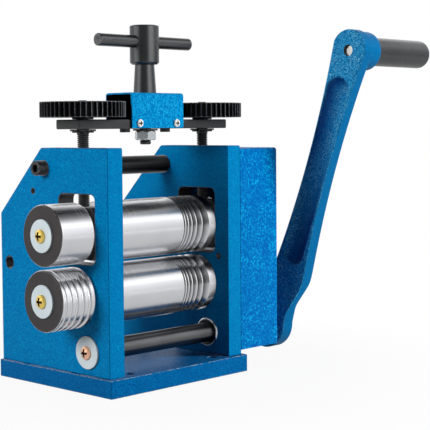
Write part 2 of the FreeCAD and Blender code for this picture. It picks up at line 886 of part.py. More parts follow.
def roller(label, height, key_starts):
    """A main roller: flat face, a row of V grooves that widen towards the gearbox, journals that
    run in the bushes, and stubs for the extension roll and the gears."""
    half = s.inner_x - s.roller_side_gap
    radius, journal, stub = s.roller_dia / 2, s.journal / 2, s.stub / 2
    tap, hole = s.end_screw_length + 1.0, s.end_screw_thread / 2
    left_end = s.air_gap - s.extension_end_x
    shoulder = s.outer_x + s.air_gap
    right_end = s.coupling_end_x + s.roller_tail
    clip_end = s.coupling_end_x + s.shaft_clip_thick
    outline = [
        (left_end, hole),
        (left_end + tap, hole),
        (left_end + tap, NOTHING),
        (right_end, NOTHING),
        (right_end, stub - s.edge_break),
        (right_end - s.edge_break, stub),
        (clip_end, stub),
        (clip_end, stub - s.clip_groove_deep),
        (s.coupling_end_x, stub - s.clip_groove_deep),
        (s.coupling_end_x, stub),
        (shoulder, stub),
        (shoulder, journal),
        (half, journal),
        (half, radius - s.roller_edge),
        (half - s.roller_edge, radius),
    ]
    stations = groove_stations(
        s.groove_zone - half, s.groove_count, s.groove_width, s.groove_growth, s.groove_land
    )
    for start, width in reversed(stations):
        outline += [
            (start + width, radius),
            (start + width / 2, radius - width / 2),
            (start, radius),
        ]
    outline += [
        (s.roller_edge - half, radius),
        (-half, radius - s.roller_edge),
        (-half, journal),
        (-shoulder, journal),
        (-shoulder, stub),
        (left_end, stub),
    ]
    body = turned(label, "X", outline)
    key_seats(body, stub, key_starts, s.roller_key_length)
    return place(body, y=s.axis_y, z=height)


def key_seats(body, radius, starts, length):
    """Seats for keys, side by side along the upper side of a turned piece."""
    half = s.key_width / 2
    seat = Drawing(body, "XY_Plane", radius)
    for start in starts:
        end = start + length
        seat.outline([(start, -half), (end, -half), (end, half), (start, half)])
    pocket(body, seat, s.key_height / 2, "key_seats")


def lower_key_starts():
    return [-(s.extension_x + s.roller_key_length), s.drive_gear_x, s.coupling_x]


def upper_key_starts():
    return [-(s.extension_x + s.roller_key_length), s.coupling_x]


def key_block(length):
    """A key lying along +x with its middle at the height of the shaft's surface."""
    length, width, height = float(length), float(s.key_width), float(s.key_height)
    return Part.makeBox(length, width, height, vector(0, -width / 2, -height / 2))


def roller_keys(label, height, starts):
    z = height + s.stub / 2
    key = key_block(s.roller_key_length)
    return group(label, key, [(start, s.axis_y, z, UPRIGHT) for start in starts])


def extension_roll(label, height, grooved):
    """A short roll outside the left plate, plain or with half-round grooves that widen towards
    the plate."""
    start, end = -s.extension_end_x, -s.extension_x
    radius, edge = s.roller_dia / 2, s.extension_edge
    outline = [
        (start, s.stub / 2),
        (end, s.stub / 2),
        (end, radius - edge),
        (end - edge, radius),
    ]
    if grooved:
        rows = groove_stations(
            start + s.half_round_rim,
            s.half_round_count,
            s.half_round_width,
            s.half_round_growth,
            s.half_round_land,
        )
        for station, width in reversed(rows):
            deep = s.half_round_depth * width
            outline += [(station + width, radius, -deep), (station, radius)]
    outline += [(start + edge, radius), (start, radius - edge)]
    body = turned(label, "X", outline)
    slot = Drawing(body, "YZ_Plane", end)
    half, reach = s.key_width / 2, s.stub / 2 + s.key_height / 2
    slot.outline([(-half, NOTHING), (half, NOTHING), (half, reach), (-half, reach)])
    pocket(body, slot, s.roller_key_length, "key_slot")
    return place(body, y=s.axis_y, z=height)


def spacer(label, height):
    """The thrust ring between a side plate's outer face and the extension roll."""
    start = -s.extension_x
    body = ring(label, "X", start, start + s.spacer_thick, s.stub, s.spacer_dia)
    return place(body, y=s.axis_y, z=height)


def end_fastening(name, x_face, y, z):
    """The washer and cross-recessed screw on the left end of a shaft."""
    washer = ring(
        f"{name}_end_washer",
        "X",
        -(x_face + s.end_washer_thick),
        -x_face,
        s.end_screw_thread + 2 * s.run_fit,
        s.end_washer,
    )
    place(washer, y=y, z=z)
    screw = solid(
        f"{name}_end_screw",
        cross_screw(s.end_screw_thread, s.end_screw_length),
        -(x_face + s.end_washer_thick),
        y,
        z,
        TO_LEFT,
    )
    return [washer, screw]


# ---------------------------------------------------------------------------------------------
# Bearings
# ---------------------------------------------------------------------------------------------
def plain_bushes(label, bore, outside, y, z):
    """A bronze bush in each side plate or bearing block."""
    inner, outer = float(bore) / 2, float(outside) / 2
    length = float(s.plate_thick)
    bush = spun([(inner, 0), (outer, 0), (outer, length), (inner, length)])
    return group(
        label,
        bush,
        [(-s.outer_x, y, z, TO_RIGHT), (s.inner_x, y, z, TO_RIGHT)],
    )


def drive_shaft_bushes():
    """Flanged bushes: the flanges lie on the plates' inner faces."""
    bore = float(s.drive_shaft) / 2 + float(s.run_fit)
    outer, flange = float(s.drive_bush) / 2, float(s.drive_flange) / 2
    lip, length = float(s.drive_flange_thick), float(s.plate_thick)
    bush = spun(
        [
            (bore, -lip),
            (flange, -lip),
            (flange, 0),
            (outer, 0),
            (outer, length),
            (bore, length),
        ]
    )
    return group(
        "drive_shaft_bushes",
        bush,
        [
            (-s.inner_x, s.drive_y, s.drive_z, TO_LEFT),
            (s.inner_x, s.drive_y, s.drive_z, TO_RIGHT),
        ],
    )


def spring_places(x_middle):
    offset = s.spring_pocket_offset
    return [(x_middle, s.axis_y - offset), (x_middle, s.axis_y + offset)]


def bearing_block(label, x_start):
    """A block that slides up and down in a plate's window and carries the upper roller."""
    half = s.window_width / 2 - s.slide_fit
    body = new_body(label)
    face = Drawing(body, "YZ_Plane", x_start)
    face.outline(
        [
            (s.axis_y - half, s.block_bottom),
            (s.axis_y + half, s.block_bottom),
            (s.axis_y + half, s.block_top),
            (s.axis_y - half, s.block_top),
        ]
    )
    blank = pad(body, face, s.plate_thick)
    dress(body, "Chamfer", blank, lambda edge: runs_along(edge, 0), Size=s.block_corner)
    bore = Drawing(body, "YZ_Plane", x_start + s.plate_thick)
    bore.circle(s.axis_y, s.upper_axis, s.bush_dia)
    pocket(body, bore, s.plate_thick, "bore")
    pockets = Drawing(body, "XY_Plane", s.block_bottom)
    for x, y in spring_places(x_start + s.plate_thick / 2):
        pockets.circle(x, y, s.spring_dia + 2 * s.air_gap)
    pocket(body, pockets, s.spring_pocket_deep, "spring_pockets", along_normal=True)
    return body


def lift_springs():
    """Four compression springs that push the bearing blocks up against the screws."""
    wire, middle = float(s.spring_wire), (float(s.spring_dia) - float(s.spring_wire)) / 2
    low = float(s.window_bottom) + wire / 2
    high = float(s.block_bottom) + float(s.spring_pocket_deep) - wire / 2
    pitch = (high - low) / float(s.spring_turns)
    helix = Part.makeHelix(pitch, high - low, middle)
    section = Part.Wire(
        Part.makePolygon(
            [
                vector(middle + wire / 2 * math.cos(a), 0, wire / 2 * math.sin(a))
                for a in (math.radians(60 * n) for n in range(7))
            ]
        ).Edges
    )
    coil = Part.Wire(helix.Edges).makePipeShell([section], True, True)
    places = spring_places(-s.screw_x) + spring_places(s.screw_x)
    return group("lift_springs", coil, [(x, y, Size(low, "0"), UPRIGHT) for x, y in places])


# ---------------------------------------------------------------------------------------------
# Adjusting screws, bridge bar and top gears
# ---------------------------------------------------------------------------------------------
def clip_groove_z():
    """Underside of the groove that a screw's clip sits in."""
    return s.bar_bottom - s.end_play - s.screw_washer_thick - s.clip_thick


def adjusting_screw(label, x):
    """A long screw: threaded through the plate, grooved for its clip under the bridge bar, and
    carrying a big gear at its top."""
    radius, groove = s.screw_thread / 2, s.screw_thread / 2 - s.clip_groove_deep
    foot, top = s.block_top + s.run_fit, s.top_gear_top + s.screw_end
    low = clip_groove_z()
    body = turned(
        label,
        "Z",
        [
            (foot, NOTHING),
            (top, NOTHING),
            (top, radius - s.screw_end),
            (s.top_gear_top, radius),
            (low + s.clip_thick, radius),
            (low + s.clip_thick, groove),
            (low, groove),
            (low, radius),
            (foot + 1.0, radius),
            (foot, radius - 1.0),
        ],
    )
    return place(body, x=x, y=s.axis_y)


def screw_washer(label, x):
    """The washer under the bridge bar and the spring clip that holds it up."""
    under_bar = float(s.bar_bottom - s.end_play)
    thick, radius = float(s.screw_washer_thick), float(s.screw_thread) / 2
    washer = spun(
        [
            (radius, under_bar - thick),
            (float(s.screw_washer) / 2, under_bar - thick),
            (float(s.screw_washer) / 2, under_bar),
            (radius, under_bar),
        ]
    )
    low = float(clip_groove_z())
    high = low + float(s.clip_thick)
    outside = radius + float(s.clip_reach)
    bore = radius - float(s.clip_groove_deep)
    clip = spun([(bore, low), (outside, low), (outside, high), (bore, high)])
    mouth = Part.makeBox(
        2 * outside, 1.4 * bore, 2 * (high - low), vector(0, -0.7 * bore, low - (high - low) / 2)
    )
    clip = clip.cut(mouth)
    for side in (-1, 1):
        ear = Part.makeBox(2.6, 2.0, high - low, vector(outside - 2.0, side * 3.6 - 1.0, low))
        clip = clip.fuse(ear)
    clip.rotate(vector(0, 0, 0), vector(0, 0, 1), -135)
    return solid(label, Part.makeCompound([washer, clip.removeSplitter()]), x, s.axis_y)


def big_gear(label, x, phase):
    gear = Gear(s.top_module, s.big_teeth, s.top_gear_face, phase)
    boss = cylinder(s.big_gear_boss, s.end_play - s.top_gear_lift, 0)
    shape = gear.solid().fuse(boss)
    shape = shape.cut(cylinder(s.screw_thread, -s.top_gear_lift, 2 * s.top_gear_face))
    return solid(label, shape, x, s.axis_y, s.top_gear_z)


def idler_gear(label, x):
    gear = Gear(s.top_module, s.idler_teeth, s.top_gear_face, 180.0 / float(s.idler_teeth))
    bore = s.idler_bolt_thread + 2 * s.run_fit
    boss = cylinder(s.big_gear_boss * 0.75, s.end_play - s.top_gear_lift, 0)
    shape = gear.solid().fuse(boss).cut(cylinder(bore, -s.top_gear_lift, s.top_gear_face))
    return solid(label, shape, x, s.axis_y, s.top_gear_z)


def bridge_bar():
    body = new_body("bridge_bar")
    blank = Drawing(body, "XY_Plane", s.bar_bottom)
    half_x, half_y = s.bar_length / 2, s.bar_width / 2
    low, high = s.axis_y - half_y, s.axis_y + half_y
    blank.outline([(-half_x, low), (half_x, low), (half_x, high), (-half_x, high)])
    pad(body, blank, s.bar_thick)
    holes = Drawing(body, "XY_Plane", s.bar_top)
    for x in (-s.screw_x, s.screw_x):
        holes.circle(x, s.axis_y, s.screw_thread + 2 * s.run_fit)
    holes.circle(NOTHING, s.axis_y, s.stud_dia + 2 * s.run_fit)
    for x in (-s.idler_x, s.idler_x):
        holes.circle(x, s.axis_y, s.idler_bolt_thread)
    pocket(body, holes, s.bar_thick, "holes")
    seats = Drawing(body, "XY_Plane", s.bar_bottom)
    for x in (-s.idler_x, s.idler_x):
        seats.circle(x, s.axis_y, socket_head(s.idler_bolt_thread) + s.air_gap)
    sink = s.idler_bolt_thread - s.idler_bolt_drop
    pocket(body, seats, sink, "bolt_seats", along_normal=True)
    taps = Drawing(body, "XZ_Plane", half_y - s.axis_y)
    for x in (-s.cover_screw_spacing / 2, s.cover_screw_spacing / 2):
        taps.circle(x, s.bar_top - s.cover_screw_drop, s.cover_screw_thread)
    last = pocket(body, taps, s.cover_screw_length, "front_taps")
    rear = Drawing(body, "XZ_Plane", -half_y - s.axis_y)
    for x in (-s.cover_screw_spacing / 2, s.cover_screw_spacing / 2):
        rear.circle(x, s.bar_top - s.cover_screw_drop, s.cover_screw_thread)
    last = pocket(body, rear, s.cover_screw_length, "rear_taps", along_normal=True)
    dress(
        body,
        "Chamfer",
        last,
        lambda edge: runs_along(edge, 2) and abs(edge.CenterOfMass.x) > float(s.screw_x),
        Size=s.edge_break,
    )
    return body


def idler_bolts():
    """Shoulder bolts pushed up through the bar; the idler gears turn on them."""
    under_head = s.bar_bottom + s.idler_bolt_thread - s.idler_bolt_drop
    top = s.top_gear_top + s.end_play + nut_height(s.idler_bolt_thread) + 0.6
    bolt = socket_screw(s.idler_bolt_thread, top - under_head)
    return group(
        "idler_bolts",
        bolt,
        [(x, s.axis_y, under_head, HEAD_DOWN) for x in (-s.idler_x, s.idler_x)],
    )


def idler_nuts():
    nut = hex_nut(s.idler_bolt_thread, s.idler_bolt_thread)
    z = s.top_gear_top + s.end_play
    return group(
        "idler_nuts", nut, [(x, s.axis_y, z, UPRIGHT) for x in (-s.idler_x, s.idler_x)]
    )


def gear_cover():
    """The sheet cover: an inverted U whose skirts are screwed to the bridge bar."""
    body = new_body("gear_cover")
    inner = s.bar_width / 2
    outer = inner + s.cover_sheet
    roof = s.cover_top - s.cover_sheet
    section = Drawing(body, "YZ_Plane", -s.cover_length / 2)
    section.outline(
        [
            (s.axis_y - outer, s.cover_bottom),
            (s.axis_y - inner, s.cover_bottom),
            (s.axis_y - inner, roof),
            (s.axis_y + inner, roof),
            (s.axis_y + inner, s.cover_bottom),
            (s.axis_y + outer, s.cover_bottom),
            (s.axis_y + outer, s.cover_top),
            (s.axis_y - outer, s.cover_top),
        ]
    )
    sheet_pad = pad(body, section, s.cover_length)
    bends = dress(
        body,
        "Fillet",
        sheet_pad,
        lambda edge: runs_along(edge, 0)
        and abs(edge.CenterOfMass.z - float(s.cover_top)) < 1e-6,
        Radius=s.cover_bend,
    )
    dress(
        body,
        "Fillet",
        bends,
        lambda edge: runs_along(edge, 0) and abs(edge.CenterOfMass.z - float(roof)) < 1e-6,
        Radius=s.cover_bend - s.cover_sheet,
    )
    hole = Drawing(body, "XY_Plane", s.cover_top)
    hole.circle(NOTHING, s.axis_y, s.neck_foot_dia + 2 * s.air_gap)
    pocket(body, hole, s.cover_sheet, "spindle_hole")
    taps = Drawing(body, "XZ_Plane", outer - s.axis_y)
    for x in (-s.cover_screw_spacing / 2, s.cover_screw_spacing / 2):
        taps.circle(x, s.bar_top - s.cover_screw_drop, s.cover_screw_thread)
    pocket(body, taps, 2 * outer, "screw_holes")
    return body


def cover_screws():
    """Two domed screws in the front skirt and two in the rear one."""
    skirt = s.bar_width / 2 + s.cover_sheet
    z = s.bar_top - s.cover_screw_drop
    screw = cross_screw(s.cover_screw_thread, s.cover_screw_length)
    places = []
    for x in (-s.cover_screw_spacing / 2, s.cover_screw_spacing / 2):
        places.append((x, s.axis_y - skirt, z, TO_FRONT))
        places.append((x, s.axis_y + skirt, z, TO_BACK))
    return group("cover_screws", screw, places)


# ---------------------------------------------------------------------------------------------
# T-handle
# ---------------------------------------------------------------------------------------------
def t_spindle():
    """Hub, tapering neck, gear seat and threaded stud in one turned piece."""
    hub, neck, foot = s.hub_dia / 2, s.neck_top_dia / 2, s.neck_foot_dia / 2
    seat, stud = s.spindle_dia / 2, s.stud_dia / 2
    shoulder = s.top_gear_top
    end = s.bar_bottom - s.end_play - s.screw_washer_thick - nut_height(s.stud_dia) - s.stud_reach
    body = turned(
        "t_spindle",
        "Z",
        [
            (end, NOTHING),
            (s.hub_top, NOTHING),
            (s.hub_top, hub - s.edge_break),
            (s.hub_top - s.edge_break, hub),
            (s.hub_foot, hub),
            (s.hub_foot - s.hub_chamfer, hub - s.hub_chamfer),
            (s.hub_foot - s.hub_chamfer, neck),
            (s.cover_top + s.air_gap, foot),
            (shoulder, foot),
            (shoulder, seat),
            (s.bar_top + s.end_play, seat),
            (s.bar_top + s.end_play, stud),
            (end + 1.0, stud),
            (end, stud - 1.0),
        ],
    )
    bore = Drawing(body, "YZ_Plane", s.hub_dia)
    bore.circle(NOTHING, s.cross_bar_z, s.cross_bar)
    pocket(body, bore, 2 * s.hub_dia, "cross_bore")
    return place(body, y=s.axis_y)


def cross_bar():
    half, radius = s.cross_bar_length / 2, s.cross_bar / 2
    bar = turned(
        "cross_bar",
        "X",
        [
            (-half, NOTHING),
            (half, NOTHING),
            (half, radius - s.edge_break),
            (half - s.edge_break, radius),
            (s.edge_break - half, radius),
            (-half, radius - s.edge_break),
        ],
    )
    return place(bar, y=s.axis_y, z=s.cross_bar_z)


def top_pinion():
    gear = Gear(s.top_module, s.pinion_teeth, s.top_gear_face, 0.0)
    shape = gear.solid().cut(cylinder(s.spindle_dia, -1, 2 * s.top_gear_face))
    return solid("top_pinion", shape, 0, s.axis_y, s.top_gear_z)


def spindle_nut():
    z = s.bar_bottom - s.end_play - s.screw_washer_thick - nut_height(s.stud_dia)
    return solid("spindle_nut", hex_nut(s.stud_dia, s.stud_dia), 0, s.axis_y, z)


def spindle_washer():
    high = s.bar_bottom - s.end_play
    body = ring(
        "spindle_washer", "Z", high - s.screw_washer_thick, high, s.stud_dia, s.screw_washer
    )
    return place(body, y=s.axis_y)


# ---------------------------------------------------------------------------------------------
# Gearbox cover
# ---------------------------------------------------------------------------------------------
def gearbox_cover():
    """The cast box over the drive gears, open towards the side plate and underneath, with a post
    for each screw and a boss for the crank shaft's bush."""
    body = new_body("gearbox_cover")
    front, rear = s.front_y, s.front_y + s.gearbox_depth
    outside = Drawing(body, "YZ_Plane", s.outer_x)
    outside.outline(
        [
            (front, s.gearbox_floor),
            (rear, s.gearbox_floor),
            (rear, s.gearbox_top),
            (front, s.gearbox_top),
        ]
    )
    blank = pad(body, outside, s.gearbox_width)
    dress(
        body,
        "Fillet",
        blank,
        lambda edge: edge.CenterOfMass.x > float(s.outer_x) + 1e-3
        and edge.CenterOfMass.z > float(s.gearbox_floor) + 1e-3,
        Radius=s.gearbox_corner,
    )
    wall = s.gearbox_wall
    inside = Drawing(body, "YZ_Plane", s.outer_x)
    inside.outline(
        [
            (front + wall, NOTHING),
            (rear - wall, NOTHING),
            (rear - wall, s.gearbox_top - wall),
            (front + wall, s.gearbox_top - wall),
        ]
    )
    pocket(body, inside, s.gearbox_width - wall, "inside", along_normal=True)
    posts = Drawing(body, "YZ_Plane", s.outer_x)
    for y, z in gearbox_screw_places():
        posts.circle(y, z, s.gearbox_post)
    pad(body, posts, s.gearbox_width - wall / 2, "posts")
    boss = Drawing(body, "YZ_Plane", crank_bush_start())
    boss.circle(s.drive_y, s.drive_z, s.drive_bush + 2 * s.gearbox_boss_wall)
    pad(body, boss, s.gearbox_x - crank_bush_start() - wall / 2, "boss")
    holes = Drawing(body, "YZ_Plane", s.gearbox_x)
    for y, z in gearbox_screw_places():
        holes.circle(y, z, s.gearbox_screw_thread + 2 * s.air_gap)
    holes.circle(s.drive_y, s.drive_z, s.drive_bush)
    pocket(body, holes, s.gearbox_width, "holes")
    return body


def crank_bush_start():
    """Where the bush at the crank end starts: just past the coupling gears."""
    return s.coupling_end_x + 1.0


def gearbox_screws():
    screw = socket_screw(s.gearbox_screw_thread, s.gearbox_width + s.gearbox_screw_bite)
    return group(
        "gearbox_screws",
        screw,
        [(s.gearbox_x, y, z, TO_RIGHT) for y, z in gearbox_screw_places()],
    )


def crank_bush():
    bore = s.drive_shaft + 2 * s.run_fit
    body = ring("crank_bush", "X", crank_bush_start(), s.gearbox_x, bore, s.drive_bush)
    return place(body, y=s.drive_y, z=s.drive_z)


# ---------------------------------------------------------------------------------------------
# Drive shaft and gears
# ---------------------------------------------------------------------------------------------
def mesh_angle():
    """Direction from the drive shaft to the lower roller, from +y towards +z."""
    return math.degrees(math.atan2(float(s.drive_drop), float(s.drive_forward)))


def crank_key_start():
    return s.crank_x + s.crank_hub_thick - s.air_gap - s.crank_key_length


def drive_shaft():
    """The shaft from the left plate through the gearbox to the crank."""
    radius, tap = s.drive_shaft / 2, s.end_screw_length + 1.0
    hole, bolt_hole = s.end_screw_thread / 2, s.crank_bolt_thread / 2
    left, right = -(s.outer_x + s.end_play), s.crank_outer_x - s.air_gap
    bolt_tap = 2 * s.crank_bolt_thread
    body = turned(
        "drive_shaft",
        "X",
        [
            (left, hole),
            (left + tap, hole),
            (left + tap, NOTHING),
            (right - bolt_tap, NOTHING),
            (right - bolt_tap, bolt_hole),
            (right, bolt_hole),
            (right, radius),
            (left, radius),
        ],
    )
    key_seats(body, radius, [s.drive_gear_x], s.crank_key_length)
    crank_seat = Drawing(body, "XY_Plane", radius)
    half = s.key_width / 2
    start, end = crank_key_start(), right
    crank_seat.outline([(start, -half), (end, -half), (end, half), (start, half)])
    pocket(body, crank_seat, s.key_height / 2, "crank_seat")
    return lean(body, NOTHING)


def lean(body, x):
    """Put a piece on the drive shaft's axis, turned about it with the leaning crank."""
    turn = FreeCAD.Rotation(vector(1, 0, 0), float(s.crank_lean))
    body.Placement = FreeCAD.Placement(vector(x, s.drive_y, s.drive_z), turn)
    bind(
        body,
        Placement__Base__x=x,
        Placement__Base__y=s.drive_y,
        Placement__Base__z=s.drive_z,
        Placement__Rotation__Angle=s.crank_lean,
    )
    return body


def drive_shaft_keys():
    """The pinion's key and the crank's, in line on the leaning side of the shaft."""
    key = key_block(s.crank_key_length)
    height = float(s.drive_shaft) / 2
    copies = []
    for start in (s.drive_gear_x, crank_key_start()):
        copy = key.copy()
        copy.translate(vector(start, 0, height))
        copies.append(copy)
    return lean(solid("drive_shaft_keys", Part.makeCompound(copies)), NOTHING)


def keyed(gear, bore, angle, length):
    """A gear with its bore and a key slot at an angle, both open at its +z end."""
    face = gear.face
    shape = gear.solid().cut(cylinder(bore, -face, 2 * face))
    half = float(s.key_width) / 2
    reach = float(bore) / 2 + float(s.key_height) / 2
    slot = Part.makeBox(reach, 2 * half, float(length), vector(0, -half, 0))
    slot.rotate(vector(0, 0, 0), vector(0, 0, 1), angle)
    return shape.cut(slot)


def seat_ring(bore, outside, start):
    """A gear's boss, from its seat at the station start to the gear's own face at zero."""
    return cylinder(outside, start, 0).cut(cylinder(bore, start, 0))


def drive_pinion():
    gear = Gear(s.drive_module, s.drive_pinion_teeth, s.drive_gear_face, mesh_angle())
    shape = keyed(gear, s.drive_shaft, 90.0 + float(s.crank_lean), s.crank_key_length)
    boss = seat_ring(s.drive_shaft, s.drive_flange, s.end_play - s.drive_gear_start)
    return solid(
        "drive_pinion", shape.fuse(boss), s.drive_gear_x, s.drive_y, s.drive_z, ALONG_X
    )


def drive_gear():
    gap = mesh_angle() + 180.0 + 180.0 / float(s.drive_gear_teeth)
    gear = Gear(s.drive_module, s.drive_gear_teeth, s.drive_gear_face, gap)
    shape = keyed(gear, s.stub, 90.0, s.roller_key_length)
    boss = seat_ring(s.stub, s.gear_boss, s.air_gap - s.drive_gear_start)
    return solid(
        "drive_gear", shape.fuse(boss), s.drive_gear_x, s.axis_y, s.lower_axis, ALONG_X
    )


def coupling_gear(label, height, phase, seat):
    """A long-toothed gear that stays in mesh while the rollers move apart; its boss reaches back
    to its seat."""
    gear = Gear(
        s.coupling_module, s.coupling_teeth, s.coupling_face, phase, 25.0, 1.1, 1.35
    )
    shape = keyed(gear, s.stub, 90.0, s.roller_key_length)
    shape = shape.fuse(seat_ring(s.stub, s.gear_boss, seat - s.coupling_x))
    return solid(label, shape, s.coupling_x, s.axis_y, height, ALONG_X)


def shaft_clip(label, height):
    """The retaining ring in the groove at a roller's gear end."""
    bore = float(s.stub) / 2 - float(s.clip_groove_deep)
    outside, thick = float(s.stub) / 2 + float(s.shaft_clip_reach), float(s.shaft_clip_thick)
    clip = spun([(bore, 0), (outside, 0), (outside, thick), (bore, thick)])
    mouth = Part.makeBox(outside, bore, thick, vector(0, -bore / 2, 0))
    return solid(
        label, clip.cut(mouth), s.coupling_end_x, s.axis_y, height, ALONG_X
    )


# ---------------------------------------------------------------------------------------------
# Crank and grip
# ---------------------------------------------------------------------------------------------
def across(radius, height):
    """Half the width of a circle at a height above its centre."""
    return root(radius * radius - height * height)


def crank_arm():
    """The cast arm, drawn upright about its shaft hole and then leaned forward.  Its face outline
    is waisted, and in side view it steps outwards above the hub."""
    body = new_body("crank_arm")
    reach, hub, head = s.crank_reach, s.crank_hub_radius, s.crank_head_radius
    hub_side = across(hub, s.crank_hub_shoulder)
    head_side = across(head, s.crank_head_shoulder)
    foot, neck = s.crank_half_foot, s.crank_half_neck
    low, high = s.crank_step_end, reach - head
    waist = s.crank_waist_bulge
    outline = Drawing(body, "YZ_Plane")
    outline.outline(
        [
            (-hub_side, s.crank_hub_shoulder, hub + s.crank_hub_shoulder),
            (hub_side, s.crank_hub_shoulder),
            (foot, low, -waist),
            (neck, high),
            (head_side, reach + s.crank_head_shoulder, head - s.crank_head_shoulder),
            (-head_side, reach + s.crank_head_shoulder),
            (-neck, high, -waist),
            (-foot, low),
        ]
    )
    thick = s.crank_step + s.crank_arm_thick
    pad(body, outline, thick, "blank")

    wide, top = 2 * hub, reach + 2 * head
    inner = Drawing(body, "XZ_Plane", hub)
    inner.outline(
        [
            (-s.crank_step, s.crank_step_start),
            (NOTHING, s.crank_step_start),
            (
                s.crank_step - s.crank_knee_share * s.crank_step,
                low - s.crank_knee_share * (low - s.crank_step_start),
                s.crank_knee_bulge,
            ),
            (s.crank_step, low + s.crank_knee_run),
            (s.crank_step, top),
            (-s.crank_step, top),
        ]
    )
    pocket(body, inner, wide, "inner_face")
    head_x, knee = s.crank_step + s.crank_head_thick, s.crank_knee_end
    outer = Drawing(body, "XZ_Plane", hub)
    outer.outline(
        [
            (s.crank_hub_thick, -wide),
            (2 * thick, -wide),
            (2 * thick, top),
            (head_x, top),
            (head_x, reach),
            (thick, knee + s.crank_knee_run, -s.crank_knee_bulge),
            (
                thick - s.crank_knee_share * s.crank_step,
                knee - s.crank_knee_share * (knee - s.crank_knee_start),
            ),
            (s.crank_hub_thick, s.crank_knee_start),
        ]
    )
    pocket(body, outer, wide, "outer_face")

    boss = Drawing(body, "YZ_Plane", s.crank_step + s.crank_head_thick / 2)
    boss.circle(NOTHING, reach, s.crank_boss)
    pad(body, boss, s.crank_boss_reach - s.crank_head_thick / 2, "grip_boss")
    foot_boss = Drawing(body, "YZ_Plane", hub_boss_start())
    foot_boss.circle(NOTHING, NOTHING, s.crank_hub_foot)
    pad(body, foot_boss, s.crank_hub_thick / 2 - hub_boss_start(), "hub_boss")
    bores = Drawing(body, "YZ_Plane", s.crank_step + s.crank_boss_reach)
    bores.circle(NOTHING, reach, s.grip_bolt)
    bores.circle(NOTHING, NOTHING, s.drive_shaft)
    deep = s.crank_step + s.crank_boss_reach - hub_boss_start()
    pocket(body, bores, deep, "bores")
    slot = Drawing(body, "YZ_Plane", s.crank_hub_thick)
    half, side = s.key_width / 2, s.drive_shaft / 2 + s.key_height / 2
    slot.outline([(-half, NOTHING), (half, NOTHING), (half, side), (-half, side)])
    pocket(body, slot, s.air_gap + s.crank_key_length, "key_slot")
    dished_pocket(body)
    return lean(body, s.crank_x)


def hub_boss_start():
    """Inner end of the hub's boss, a little short of the gearbox cover."""
    return s.end_play + s.air_gap - s.crank_gap


def dished_pocket(body):
    """The long pocket in the arm's inner face, waisted like the arm and rounded at its ends."""
    rim = s.pocket_rim
    foot, neck = s.crank_half_foot - rim - s.pocket_taper, s.crank_half_neck - rim
    low, high = s.pocket_start + foot, s.pocket_end - neck
    drawing = Drawing(body, "YZ_Plane", s.crank_step)
    drawing.outline(
        [
            (-foot, low, s.pocket_end_shape * foot),
            (foot, low, -s.pocket_waist_bulge),
            (neck, high, s.pocket_end_shape * neck),
            (-neck, high, -s.pocket_waist_bulge),
        ]
    )
    pocket(body, drawing, s.pocket_deep, "recess", along_normal=True)


def crank_bolt():
    """The bolt and washer that hold the crank on its shaft."""
    outside, thick = float(s.crank_washer) / 2, float(s.crank_washer_thick)
    bore = float(s.crank_bolt_thread) / 2 + 0.2
    washer = spun([(bore, -thick), (outside, -thick), (outside, 0), (bore, 0)])
    screw = socket_screw(s.crank_bolt_thread, s.crank_washer_thick + 1.5 * s.crank_bolt_thread)
    x = s.crank_outer_x + s.crank_washer_thick
    return group(
        "crank_bolt", Part.makeCompound([screw, washer]), [(x, s.drive_y, s.drive_z, TO_RIGHT)]
    )


def grip_axis():
    """(y, z) of the grip's axis, at the crank's reach along the leaning arm."""
    angle = math.radians(float(s.crank_lean))
    sine = Size(math.sin(angle), "sin(sizes.crank_lean)")
    cosine = Size(math.cos(angle), "cos(sizes.crank_lean)")
    return s.drive_y - s.crank_reach * sine, s.drive_z + s.crank_reach * cosine


def grip_start():
    return s.crank_x + s.crank_step + s.crank_boss_reach + s.air_gap


def grip():
    """The free-turning grip: a bore for its bolt, a counterbore for the bolt's head, and a
    rounded outer end."""
    start = grip_start()
    end = start + s.grip_length
    radius, bore = s.grip_dia / 2, s.grip_bolt / 2 + s.run_fit
    sunk = s.grip_bolt_head / 2 + s.air_gap
    quarter = s.grip_round * (1 - math.sqrt(0.5))
    body = turned(
        "grip",
        "X",
        [
            (start, bore),
            (end - s.grip_recess, bore),
            (end - s.grip_recess, sunk),
            (end, sunk),
            (end, radius - s.grip_round, quarter),
            (end - s.grip_round, radius),
            (start + s.edge_break, radius),
            (start, radius - s.edge_break),
        ],
    )
    y, z = grip_axis()
    return place(body, y=y, z=z)


def grip_bolt():
    """The shoulder bolt that the grip turns on, screwed into the arm's boss."""
    head = grip_start() + s.grip_length - s.grip_recess + s.end_play
    foot = s.crank_x + s.crank_step + s.grip_bolt_sink
    radius, cap = s.grip_bolt / 2, s.grip_bolt_head / 2
    body = turned(
        "grip_bolt",
        "X",
        [
            (foot, NOTHING),
            (head + s.grip_bolt_head_height, NOTHING),
            (head + s.grip_bolt_head_height, cap - s.edge_break),
            (head + s.grip_bolt_head_height - s.edge_break, cap),
            (head, cap),
            (head, radius),
            (foot + s.edge_break, radius),
            (foot, radius - s.edge_break),
        ],
    )
    y, z = grip_axis()
    return place(body, y=y, z=z)


# ---------------------------------------------------------------------------------------------
# The mill
# ---------------------------------------------------------------------------------------------
def frame_pieces():
    roller_bore = s.journal + 2 * s.run_fit
    return [
        base_plate(),
        base_screws(),
        side_plate("left_side_plate", -s.inner_x, -s.outer_x, False, False),
        side_plate("right_side_plate", s.inner_x, s.inner_x, True, True),
        tie_rod(),
        tie_rod_screws(),
        plain_bushes("lower_roller_bushes", roller_bore, s.bush_dia, s.axis_y, s.lower_axis),
        drive_shaft_bushes(),
        lift_springs(),
        gearbox_cover(),
        gearbox_screws(),
        crank_bush(),
    ]


